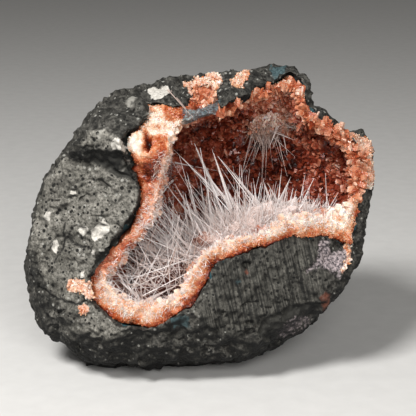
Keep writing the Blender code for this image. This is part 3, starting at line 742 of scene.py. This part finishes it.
def crystal_forms():
    """Three plain blocks of unit size that stand on their foot: six-sided, wedge and coffin."""
    block, wedge, coffin = forms = [bmesh.new() for _ in range(3)]
    bmesh.ops.create_cone(block, cap_ends=True, segments=6, radius1=0.52, radius2=0.34, depth=1.0)
    bmesh.ops.scale(block, vec=(1.0, 0.62, 1.0), verts=block.verts)
    bmesh.ops.create_cube(wedge, size=1.0)
    top = [vertex for vertex in wedge.verts if vertex.co.z > 0]
    bmesh.ops.scale(wedge, vec=(0.85, 0.18, 1.0), verts=top)
    bmesh.ops.create_cone(coffin, cap_ends=True, segments=4, radius1=0.62, radius2=0.44, depth=1.0)
    slanted = [vertex for vertex in coffin.verts if vertex.co.z > 0 and vertex.co.x > 0.1]
    bmesh.ops.translate(coffin, vec=(0.0, 0.0, -0.28), verts=slanted)
    for bm in forms:
        bmesh.ops.translate(bm, vec=(0.0, 0.0, 0.5), verts=bm.verts)
        bm.verts.ensure_lookup_table()
    return forms


def joined_copies(name, form_list, kinds, origins, axes, values):
    """One mesh of a form copied to each origin with its three axes; values are attributes, a
    number for each copy, and tip runs from foot to tip."""
    all_points, all_faces, all_values, tips = [], [], {key: [] for key in values}, []
    offset = 0
    for kind, bm in enumerate(form_list):
        chosen = np.flatnonzero(kinds == kind)
        form = np.array([vertex.co for vertex in bm.verts])
        copies = origins[chosen][:, None, :] + np.einsum("vk,nkj->nvj", form, axes[chosen])
        all_points.append(copies.reshape(-1, 3))
        faces = [[vertex.index for vertex in face.verts] for face in bm.faces]
        for copy in range(len(chosen)):
            start = offset + copy * len(form)
            all_faces.extend([start + index for index in face] for face in faces)
        offset += len(chosen) * len(form)
        tips.append(np.tile(np.clip(form[:, 2], 0, 1), len(chosen)))
        for key, each in values.items():
            all_values[key].append(np.repeat(each[chosen], len(form)))
    mesh = bpy.data.meshes.new(name)
    mesh.from_pydata(np.concatenate(all_points).tolist(), [], all_faces)
    set_attribute(mesh, "tip", np.concatenate(tips))
    for key, parts in all_values.items():
        set_attribute(mesh, key, np.concatenate(parts))
    return mesh


def sown(mesh, weight, count, seed):
    """Random places on a mesh, denser where its vertices weigh more, with their normals and the
    weights of the three corners that each lies between."""
    rng = np.random.default_rng(seed)
    mesh.calc_loop_triangles()
    corners = np.empty(len(mesh.loop_triangles) * 3, np.int32)
    mesh.loop_triangles.foreach_get("vertices", corners)
    corners = corners.reshape(-1, 3)
    points, normals = points_of(mesh), normals_of(mesh)
    a, b, c = (points[corners[:, index]] for index in range(3))
    area = np.linalg.norm(np.cross(b - a, c - a), axis=1) / 2
    chance = area * weight[corners].mean(axis=1)
    chosen = rng.choice(len(corners), size=count, p=chance / chance.sum())
    shares = rng.dirichlet((1, 1, 1), size=count)
    corner_points = corners[chosen]
    where = np.einsum("nk,nkj->nj", shares, points[corner_points])
    facing = np.einsum("nk,nkj->nj", shares, normals[corner_points])
    facing /= np.linalg.norm(facing, axis=1, keepdims=True)
    return where, facing, corner_points, shares


def standing_axes(facing, lean, sizes, rng):
    """The three axes of copies that stand along their normals, leaning and spun at random."""
    count = len(facing)
    up = facing + rng.normal(0, 1, (count, 3)) * lean
    up /= np.linalg.norm(up, axis=1, keepdims=True)
    side = np.cross(up, rng.normal(0, 1, (count, 3)))
    side /= np.linalg.norm(side, axis=1, keepdims=True)
    across = np.cross(up, side)
    return np.stack([side * sizes[:, :1], across * sizes[:, 1:2], up * sizes[:, 2:]], axis=1)


def crystal_piece(name, mesh, weight, count, size_range, vertex_tones, vertex_bands, lean, seed,
                  replaced):
    """Blocky crystals sown over a mesh, their tone and band taken from where they stand."""
    rng = np.random.default_rng(seed)
    where, facing, corners, shares = sown(mesh, weight, count, seed)
    size = rng.uniform(0, 1, count) ** 1.7
    size = size_range[0] + (size_range[1] - size_range[0]) * size
    sizes = np.stack([size * rng.uniform(0.75, 1.15, count),
                      size * rng.uniform(0.55, 0.95, count),
                      size * rng.uniform(0.8, 1.25, count)], axis=1) * MM
    axes = standing_axes(facing, lean, sizes, rng)
    origins = where - facing * sizes[:, 2:] * CRYSTAL_SINK
    tone = np.einsum("nk,nk->n", shares, vertex_tones[corners]) + rng.normal(0, 0.06, count)
    band = np.einsum("nk,nk->n", shares, vertex_bands[corners])
    crystals = joined_copies(name, crystal_forms(), rng.integers(0, 3, count), origins, axes,
                             {"tone": tone, "band": band})
    finished_piece(crystals, heulandite, replaced, smooth_shaded=False)


places = points_of(crust_mesh)
crust_seen = seen(places)
depths = behind_front(places)
upper = upper_share(crust_seen)
unbroken = (in_hole < 0.1) * (1 - stained)
crystal_piece("wall_crystals", crust_mesh,
              (rock_gap > 1.2) * unbroken * np.maximum(rise(depths, 1.5, 4.0), upper),
              WALL_CRYSTALS, WALL_CRYSTAL_SIZE, tones, banded, 0.38, 41, "crystal_crust")
crystal_piece("rim_crystals", crust_mesh,
              (rock_gap > 0.5) * unbroken * rise(depths, 4.5, 2.0) * (1 - 0.6 * upper),
              RIM_CRYSTALS, RIM_CRYSTAL_SIZE, tones, banded, 0.55, 42, "crystal_crust")
patch_tones = 0.58 + rough(points_of(basalt_mesh), 4, 43) * 0.5
crystal_piece("patch_crystals", basalt_mesh, soft_inside(gaps["crystal_patch"], 1.2),
              PATCH_CRYSTALS, PATCH_CRYSTAL_SIZE, patch_tones, np.ones(len(patch_tones)), 0.5,
              44, "basalt_shell")

# Needle felt. Short white scolecite needles, matted so close that they hide the crust: three
# mounds on the hollow's floor. Each mound is a rough lump cut back to the crust's wall.
FELT_MOUNDS = [
    {"centre": (26, -18, 6), "size": (43, 21, 21), "turn_deg": 12, "focus": (25, -46, -4),
     "height": 0.94, "facing": 0.1},
    {"centre": (-19, -32, 12), "size": (27, 13, 18), "turn_deg": 38, "focus": (-6, -58, 0),
     "height": 0.70, "facing": 0.1},
    {"centre": (57, -8, -3), "size": (16, 10, 14), "turn_deg": 0, "focus": (52, -34, -6),
     "height": 0.90, "facing": 0.1},
]
TUFT_MOUND = {"centre": (34.5, 42.5, -18), "size": (11, 6.5, 8), "turn_deg": 8,
              "focus": (34, 78, -26), "height": 0.80, "facing": 0.45}
HOLLOW_AXIS = (0.0, 8.0)


def tree_of(mesh):
    mesh.calc_loop_triangles()
    return BVHTree.FromPolygons(
        [vertex.co for vertex in mesh.vertices],
        [tuple(triangle.vertices) for triangle in mesh.loop_triangles],
    )


crust_tree = tree_of(crust_mesh)


def in_world(place):
    """A drawn place in millimetres as a world place."""
    return FROM_VIEWER @ (Vector(place) * MM)


def room_from_axis(place):
    """The world place, the way to it from the hollow's axis, its distance, and the wall's."""
    middle = in_world((*HOLLOW_AXIS, place[2]))
    target = in_world(place)
    way = (target - middle).normalized()
    hit = crust_tree.ray_cast(middle, way)
    wall = hit[3] if hit[0] is not None else 1.0
    return middle, way, (target - middle).length, wall


def add_mound(bm, root):
    """Adds a felt mound to a bmesh in world places, held inside the crust's wall."""
    turn = Matrix.Rotation(math.radians(root["turn_deg"]), 3, "Z")
    for vertex in bmesh.ops.create_icosphere(bm, subdivisions=5, radius=1.0)["verts"]:
        stretched = Vector(vertex.co[axis] * root["size"][axis] for axis in range(3))
        place = turn @ stretched + Vector(root["centre"])
        swell = 1 + 0.30 * noise.noise(place * 0.14) + 0.16 * noise.noise(place * 0.5)
        place = turn @ (stretched * swell * root["height"]) + Vector(root["centre"])
        middle, way, distance, wall = room_from_axis(place)
        vertex.co = middle + way * min(distance, wall + 1.0 * MM)


felt = bmesh.new()
for root in FELT_MOUNDS:
    add_mound(felt, root)
felt_mesh = mesh_of(felt, "needle_felt")

# Scolecite: clear needles that look white in a mass, silky, with a faint lilac cast; dust and
# fine heulandite turn the shortest ones beige.
scolecite, tree = new_material("scolecite_needles")
shade = add_node(tree, "Attribute", attribute_name="shade")
needle_colour = add_node(tree, "ValToRGB", {"Fac": shade}, ramp=[
    (0.0, "#faf3f0"), (0.3, "#e3d1ca"), (0.6, "#bea08f"), (1.0, "#87604c")])
shader = add_node(tree, "BsdfPrincipled", {
    "Base Color": needle_colour, "Roughness": 0.28, "IOR": 1.52, "Transmission Weight": 0.06,
    "Subsurface Weight": 0.1, "Subsurface Radius": (1.0, 0.8, 0.7),
    "Subsurface Scale": 0.5 * MM})
add_node(tree, "OutputMaterial", {"Surface": shader})

# The felt itself: the same mineral, matted, with brown gaps where the crust shows through
matted, tree = new_material("matted_scolecite")
mat_noise = add_node(tree, "TexNoise", {"Vector": place_in_mm(tree), "Scale": 1.3,
                                        "Detail": 4.0, "Roughness": 0.7})
shade = add_node(tree, "Attribute", attribute_name="shade")
gap_share = add_node(tree, "Math", {0: mat_noise, 1: 1.1, 2: shade}, operation="MULTIPLY_ADD")
mat_colour = add_node(tree, "ValToRGB", {"Fac": gap_share}, ramp=[
    (0.35, "#efe5e2"), (0.65, "#d8c3ba"), (0.90, "#9a6c5a"), (1.00, "#5d3327")])
mat_bump = add_node(tree, "Bump", {"Height": mat_noise, "Strength": 0.8,
                                   "Distance": 0.6 * MM}, invert=True)
shader = add_node(tree, "BsdfPrincipled", {"Base Color": mat_colour, "Roughness": 0.6,
                                           "Normal": mat_bump})
add_node(tree, "OutputMaterial", {"Surface": shader})
# By how far right: full of gaps at the left, and nearly white under the dense needles
FELT_SHADE = [(-20, 0.70), (-6, 0.62), (6, 0.12), (44, 0.02), (56, 0.25)]
set_attribute(felt_mesh, "shade", graded(seen(points_of(felt_mesh))[:, 0], FELT_SHADE))
finished_piece(felt_mesh, matted, "scolecite_spray")

# Needles. Scolecite grows as slender prisms that radiate from their mound: spikes of many
# needles grown side by side, longest in the middle, then single ones that cross at all angles.
NEEDLE_RADIUS = (0.13, 0.30)
FUZZ_RADIUS = (0.09, 0.20)
SPIKE_SPREAD = (0.030, 0.055)
NEEDLE_SIDES = 3
ROOTED = 4.0
CLEAR_OF_FOOT = 0.6
PAST_FRONT = 1.0
NO_SPIKES = (0, 0, 0)
# How tall the needles grow, by how far right they stand: shortest at the right
HEIGHTS = [(-30, 1.1), (4, 1.4), (18, 1.1), (30, 0.45), (60, 0.35)]
# How much of the main mound's fuzz there is, by how far right and down it stands, and then by how
# far right alone: dark gaps open in it at the left, and the bowl is nearly bare of it
FUZZ_SHARE = [(-30, 0.20), (2, 0.25), (14, 1.0)]
BOWL_SHARE = [(-7, 0.2), (0, 1.0)]
LIP_NEEDLES = 3600
LIP_NEEDLE_LENGTH = (0.9, 3.4)
SEPTUM = [(-19.5, 29), (-12.5, 29), (-11, 18), (-13, 6), (-16, -5), (-21, -6), (-23, 4),
          (-21.5, 18)]
SEPTUM_NEEDLES = 2400
SEPTUM_NEEDLE_LENGTH = (0.6, 2.4)
# The spikes that stand out: foot and tip as the viewer sees them, the depth of each toward the
# viewer, and how many needles grow side by side
SPIKES = [
    ((13, 8.4), (5.4, 30.7), 9, 12, 20), ((6.1, 13.8), (-2.7, 33), 7, 8, 18),
    ((3.1, 14.6), (-11.9, 29.9), 6, 8, 9), ((11.5, 7.7), (1.5, 20.7), 8, 10, 12),
    ((24.5, 7.7), (8.4, 27.2), 9, 12, 8), ((23.8, 8.4), (16.1, 19.2), 10, 12, 5),
    ((17.6, 2.3), (12.3, 12.3), 14, 18, 16), ((23, 2.3), (22.6, 8.8), 15, 18, 18),
    ((26.1, 4.6), (24.5, 16.9), 8, 9, 8), ((32.2, 6.9), (29.5, 14.6), 10, 12, 14),
    ((34.9, 7.7), (31.1, 14.6), 11, 14, 12), ((31.4, 4.6), (32.6, 11.5), 14, 16, 14),
    ((36.8, 6.9), (41.8, 17.6), 7, 6, 16), ((38.7, 6.1), (40.6, 14.6), 8, 8, 10),
    ((36.4, 10), (37.6, 21.5), 3, 1, 3), ((46, 2.7), (52.5, 16.9), 4, 5, 7),
    ((46.4, 3.8), (48.5, 18.4), 2, 0, 3), ((58.3, 4.6), (57.7, 19.2), -2, -4, 2),
    ((60.2, 4.6), (63.6, 10.3), -1, 0, 3), ((55.2, 1.5), (49.8, 8.1), 2, 5, 5),
    ((53.7, 3.8), (54.8, 10), 0, 0, 2), ((-2.3, -0.8), (-11.5, 14.6), 10, 13, 6),
    ((-6.1, 2.3), (-13.8, 11.5), 11, 14, 5), ((-13.8, -0.8), (-16.1, 8.4), 16, 18, 3),
    ((-11.5, -3.8), (-15.7, 0), 17, 20, 6), ((-3.8, -7.7), (-14.6, 3.8), 16, 20, 5),
    ((4.6, -0.8), (3.8, 12.3), 10, 11, 6), ((1.5, 4.6), (-0.2, 17.6), 5, 5, 5),
    ((-2.3, 3.8), (-6.1, 19.9), 4, 4, 4), ((9.2, 3.8), (4.6, 14.6), 9, 11, 14),
    ((-13, -13.8), (-21.9, -5), 19, 23, 8), ((-15, -11.9), (-18.8, -6.1), 20, 23, 5),
    ((-19.9, -19.2), (-25.7, -14.2), 18, 22, 5), ((-11.1, -16.1), (-18.4, -10.7), 20, 24, 6),
    ((10.7, -9.2), (8.4, -3.8), 20, 24, 4), ((16.1, -6.9), (18, 1.5), 18, 21, 3),
    ((0, -3.8), (-6.1, 4.6), 14, 17, 8), ((6.1, -8.4), (1.5, -2.3), 18, 22, 8),
    ((21.5, -3.8), (20.3, 3.8), 17, 20, 14), ((28.4, -2.3), (29.1, 4.6), 17, 20, 14),
    ((34.5, -0.8), (36.8, 5.4), 15, 18, 12),
]
# Needles that lie across the others, from the hollow's left wall: foot, tip, how many side by side
CROSSING = [((-16.4, 12.4), (-8.1, 20.7), 3), ((-15.0, 24.6), (10.7, 19.9), 3)]
# One broken needle, in two slivers, that lies across the rim at the upper left
SPLINTER = [((-14.9, 57.6), (-4.6, 46.2)), ((-13.4, 57.2), (-3.2, 45.0))]
SPLINTER_RADIUS = 0.40
SPLINTER_SHADE = 0.45


def needle_room(foot, direction, wanted):
    """How long a needle can grow before it meets the crust or the broken front."""
    start = foot + direction * CLEAR_OF_FOOT * MM
    hit = crust_tree.ray_cast(start, direction, wanted)
    if hit[0] is not None:
        wanted = min(wanted, hit[3])
    local = TO_VIEWER @ foot
    way = TO_VIEWER.to_3x3() @ direction
    for point, normal, setback in BROKEN_FACES.values():
        facing = Vector(normal).normalized()
        toward = facing.dot(way)
        gap = facing.dot(Vector(point) * MM - local) - (setback - PAST_FRONT) * MM
        if toward > 0.01:
            wanted = min(wanted, max(gap, 0.0) / toward)
    return wanted


def any_way(rng):
    return Vector([rng.gauss(0, 1) for _ in range(3)])


def foot_on(root, rng):
    """A random place on a mound inside the hollow, and the way its needles point."""
    turn = Matrix.Rotation(math.radians(root["turn_deg"]), 3, "Z")
    for _ in range(200):
        toward = any_way(rng).normalized()
        stretched = Vector(toward[axis] * root["size"][axis] for axis in range(3))
        place = turn @ stretched + Vector(root["centre"])
        middle, way, distance, wall = room_from_axis(place)
        out = (place - Vector(root["focus"])).normalized()
        if distance < wall - 1.0 * MM and out.dot(turn @ toward) > root["facing"]:
            return in_world(place), FROM_VIEWER.to_3x3() @ out
    return None, None


def leaned(direction, amount, rng):
    return (direction + any_way(rng) * amount).normalized()


def at_depth(spot, depth):
    """The world place that the viewer sees at a spot, at a depth toward the viewer."""
    share = (VIEWER_DISTANCE - depth) / VIEWER_DISTANCE
    across, up = VIEWER_CENTRE + (np.array(spot) - VIEWER_CENTRE) * share
    return in_world((across, up, depth))


def grow_spike(needles, foot, direction, length, count, rng, shade=0.0):
    """Needles side by side that close to a point, the longest in the middle."""
    spread = length * rng.uniform(*SPIKE_SPREAD)
    for number in range(count):
        offset = any_way(rng)
        offset -= direction * offset.dot(direction)
        start = foot + offset * spread * 0.8 - direction * 1.5 * MM
        reach = length * (1.0 - 0.6 * rng.random() * min(number, 1))
        end = foot + direction * reach + offset * spread * 0.12
        needles.append((start, end, rng.uniform(*NEEDLE_RADIUS) * MM,
                        shade + rng.uniform(0, 0.15)))


def drawn_spikes(spikes, seed, shade=0.0):
    """The spikes that are drawn one by one, each rooted a little behind its foot."""
    rng = random.Random(seed)
    needles = []
    for foot_spot, tip_spot, foot_depth, tip_depth, count in spikes:
        foot, tip = at_depth(foot_spot, foot_depth), at_depth(tip_spot, tip_depth)
        direction = (tip - foot).normalized()
        root = foot - direction * ROOTED * MM
        length = needle_room(root, direction, (tip - root).length)
        grow_spike(needles, root, direction, length, count, rng, shade)
    return needles


def fur(weight, count, lengths, shades, seed):
    """Short needles that stand straight on the crust, at all angles."""
    feet, outward, _, _ = sown(crust_mesh, weight, count, seed)
    rng = random.Random(seed)
    needles = []
    for foot, out in zip(feet, outward):
        direction = leaned(Vector(out), 0.6, rng)
        start = Vector(foot) - direction * 0.5 * MM
        end = Vector(foot) + direction * rng.uniform(*lengths) * MM
        needles.append((start, end, rng.uniform(*FUZZ_RADIUS) * MM, rng.uniform(*shades)))
    return needles


def grow_from(root, spikes, singles, lean, seed, shade, radii=NEEDLE_RADIUS):
    """Spikes and single needles of one mound, each given as how many, shortest and longest."""
    rng = random.Random(seed)
    needles = []
    for number in range(spikes[0] + singles[0]):
        foot, out = foot_on(root, rng)
        if foot is None:
            continue
        is_spike = number < spikes[0]
        _, shortest, longest = spikes if is_spike else singles
        wanted = shortest + (longest - shortest) * rng.random() ** 1.7
        wanted *= graded((TO_VIEWER @ foot).x / MM, HEIGHTS) * MM
        direction = leaned(out, lean * (0.7 if is_spike else 1.0), rng)
        length = needle_room(foot, direction, wanted)
        if length < 0.45 * wanted:
            continue
        if is_spike:
            grow_spike(needles, foot, direction, length, rng.randint(5, 14), rng, shade)
        else:
            start = foot - direction * ROOTED * MM
            needles.append((start, foot + direction * length,
                            rng.uniform(*radii) * MM, shade + 0.5 * rng.random() ** 2))
    return needles


def needle_piece(name, needles, replaced):
    """Tapered prisms from foot to tip, joined in one mesh."""
    bm = bmesh.new()
    bmesh.ops.create_cone(bm, cap_ends=True, segments=NEEDLE_SIDES, radius1=1.0, radius2=0.35,
                          depth=1.0)
    bmesh.ops.translate(bm, vec=(0.0, 0.0, 0.5), verts=bm.verts)
    feet, tips, radii, shades = (np.array(part) for part in zip(*needles))
    lengths = np.linalg.norm(tips - feet, axis=1)
    rng = np.random.default_rng(len(needles))
    axes = standing_axes((tips - feet) / lengths[:, None], 0.0,
                         np.stack([radii, radii, lengths], axis=1), rng)
    mesh = joined_copies(name, [bm], np.zeros(len(needles), int), feet, axes, {"shade": shades})
    bm.free()
    finished_piece(mesh, scolecite, replaced, smooth_shaded=False)


rock_tree = tree_of(basalt_mesh)


def on_front(spot):
    """Where the viewer's line of sight at a spot meets the rock or the crust."""
    start = at_depth(spot, 90)
    way = (at_depth(spot, 0) - start).normalized()
    found = [tree.ray_cast(start, way)[3] for tree in (crust_tree, rock_tree)]
    return start + way * (min(reach for reach in found if reach is not None) - 0.5 * MM)


main_mound, bowl_mound, right_mound = FELT_MOUNDS
# The last numbers of a growth are how far its needles lean, its seed and its shade
needles = drawn_spikes(SPIKES, 50)
rng = random.Random(54)
for start, end, count in CROSSING:
    foot = on_front(start)
    tip = at_depth(end, (TO_VIEWER @ foot).z / MM - 5)
    grow_spike(needles, foot, (tip - foot).normalized(), (tip - foot).length, count, rng)
for start, end in SPLINTER:
    needles.append((on_front(start), on_front(end), SPLINTER_RADIUS * MM, SPLINTER_SHADE))
needles += grow_from(main_mound, (110, 6, 18), (520, 7, 26), 0.30, 51, 0.0)
needles += grow_from(bowl_mound, (22, 8, 15), (380, 8, 26), 1.00, 52, 0.0)
needles += grow_from(right_mound, (3, 12, 22), (60, 8, 20), 0.35, 53, 0.15)
needle_piece("long_needles", needles, "scolecite_spray")

rng = random.Random(60)
fuzz = []
for needle in grow_from(main_mound, NO_SPIKES, (5600, 1.5, 5), 0.42, 61, 0.02, FUZZ_RADIUS):
    local = (TO_VIEWER @ needle[0]) / MM
    share = graded(local.x - local.y, FUZZ_SHARE) * graded(local.x, BOWL_SHARE)
    if rng.random() < share:
        fuzz.append(needle)
fuzz += grow_from(bowl_mound, NO_SPIKES, (350, 2, 8), 1.00, 62, 0.20, FUZZ_RADIUS)
fuzz += grow_from(right_mound, NO_SPIKES, (1500, 3, 7), 0.60, 63, 0.22, FUZZ_RADIUS)
# The lower band's inner lip is furred too, so that the felt runs into it
lip = (rock_gap > 3.6) * (depths < 11) * (1 - upper) * (crust_seen[:, 1] < 6)
lip = lip * rise(crust_seen[:, 0], 62, 57)
fuzz += fur(lip, LIP_NEEDLES, LIP_NEEDLE_LENGTH, (0.0, 0.25), 64)
# and so is the thin wall at the hollow's left, with beige dust in it
septum = soft_inside(from_outlines(crust_seen, [SEPTUM]), 2.0) * (rock_gap > 2.2)
fuzz += fur(septum, SEPTUM_NEEDLES, SEPTUM_NEEDLE_LENGTH, (0.15, 0.65), 66)
needle_piece("short_needles", fuzz, "scolecite_spray")

# Ceiling tuft. A small beige spray that hangs from the hollow's roof: fuzz over a low lump, a
# few thick short needles in front and a thin fan of long ones that hang into the dark.
TUFT_CRYSTALS = 700
ROOF_FUZZ = [(20, 36), (26, 34), (36, 36), (44, 36), (48, 42), (42, 47), (36, 44), (26, 42)]
ROOF_NEEDLES = 500
ROOF_NEEDLE_LENGTH = (0.8, 2.6)
# Foot, tip, depths and number, as for the spikes on the floor
HANGING_SPIKES = [
    ((23.8, 34.5), (18.2, 14.6), -16, -14, 5), ((29.3, 35.3), (28.4, 11.5), -16, -12, 5),
    ((34.5, 35.3), (39.9, 17.6), -16, -14, 3), ((26.1, 34.5), (16.9, 23), -17, -18, 2),
    ((27.6, 34.5), (21.5, 19.2), -17, -16, 2), ((30.7, 34.5), (30.1, 16.1), -17, -18, 2),
    ((32.2, 34.5), (33.7, 20.7), -16, -18, 1), ((36.8, 34.5), (42.2, 21.5), -17, -19, 2),
    ((35.6, 34.5), (43.7, 26.8), -16, -16, 2), ((28.4, 35.3), (24.5, 24.5), -18, -20, 2),
    ((33.4, 34.5), (36.8, 23.8), -17, -20, 2), ((38.7, 35.3), (40.2, 27.6), -14, -13, 4),
    ((26.8, 35.3), (29.1, 25.3), -14, -13, 2),
]
STUBBY_SPIKES = [
    ((34.3, 37.4), (31.6, 30.8), -10, -7, 7), ((36.4, 37.4), (43.3, 34.5), -11, -8, 9),
    ((42.6, 40.2), (48.3, 38.2), -12, -9, 7),
]
HANGING_SLIMNESS = 0.62
tuft_lump = bmesh.new()
add_mound(tuft_lump, TUFT_MOUND)
tuft_mesh = mesh_of(tuft_lump, "tuft_felt")
set_attribute(tuft_mesh, "shade", np.full(len(tuft_mesh.vertices), 0.40))
finished_piece(tuft_mesh, matted, "ceiling_tuft")
tuft = [(foot, tip, radius * HANGING_SLIMNESS, shade)
        for foot, tip, radius, shade in drawn_spikes(HANGING_SPIKES, 70, 0.30)]
tuft += drawn_spikes(STUBBY_SPIKES, 76, 0.15)
tuft += grow_from(TUFT_MOUND, NO_SPIKES, (18, 8, 24), 0.30, 71, 0.35)
tuft += grow_from(TUFT_MOUND, NO_SPIKES, (260, 2, 5), 0.80, 72, 0.50, FUZZ_RADIUS)
roof = soft_inside(from_outlines(crust_seen, [ROOF_FUZZ]), 3.0) * (rock_gap > 3) * (depths > 5)
tuft += fur(roof, ROOF_NEEDLES, ROOF_NEEDLE_LENGTH, (0.4, 0.9), 75)
needle_piece("tuft_needles", tuft, "ceiling_tuft")
tuft_height = drawn(points_of(tuft_mesh))[:, 1] - TUFT_MOUND["centre"][1]
crystal_piece("tuft_crystals", tuft_mesh, rise(tuft_height, -4, 1), TUFT_CRYSTALS,
              WALL_CRYSTAL_SIZE, 0.50 + rough(points_of(tuft_mesh), 4, 73) * 0.3,
              np.zeros(len(tuft_height)), 0.4, 74, "ceiling_tuft")

# Floor, studio light and camera. A plain pale floor; a large soft key from the upper left in
# front, which rakes the broken face, a weak fill from the right, and the photograph's view.
floor_solid = bmesh.new()
bmesh.ops.create_grid(floor_solid, x_segments=2, y_segments=2, size=4.0)
floor = placed("floor", mesh_of(floor_solid, "floor"))
paper, tree = new_material("matt_paper")
fibre = add_node(tree, "TexNoise", {"Scale": 900.0})
paper_colour = add_node(tree, "ValToRGB", {"Fac": fibre},
                        ramp=[(0.3, "#d9d7d3"), (0.7, "#dedcd8")])
shader = add_node(tree, "BsdfPrincipled", {"Base Color": paper_colour, "Roughness": 0.9})
add_node(tree, "OutputMaterial", {"Surface": shader})
floor.data.materials.append(paper)

world = bpy.data.worlds.new("pale_room")
world.use_nodes = True
surroundings = world.node_tree.nodes["Background"].inputs
surroundings["Color"].default_value = colour("#e9e8e6")
surroundings["Strength"].default_value = 0.15
bpy.context.scene.world = world


def add_light(name, local, size, power):
    """A square soft light at a drawn place in millimetres, turned to the nodule's centre."""
    data = bpy.data.lights.new(name, "AREA")
    data.size = size
    data.energy = power
    spot = in_world(local)
    turn = (spot - in_world((0, 0, 0))).to_track_quat("Z", "Y").to_matrix().to_4x4()
    placed(name, data).matrix_world = Matrix.Translation(spot) @ turn


add_light("key", (-420, 640, 680), 0.30, 11.0)
add_light("fill", (200, 200, 950), 0.4, 5.0)

camera_data = bpy.data.cameras.new("camera")
camera_data.sensor_width = 36
camera_data.lens = 112.9
camera_data.clip_start = 0.01
camera = placed("camera", camera_data)
camera.matrix_world = FROM_VIEWER @ Matrix.Translation(
    Vector((*VIEWER_CENTRE, VIEWER_DISTANCE)) * MM)
bpy.context.scene.camera = camera
bpy.context.scene.view_settings.view_transform = "Standard"
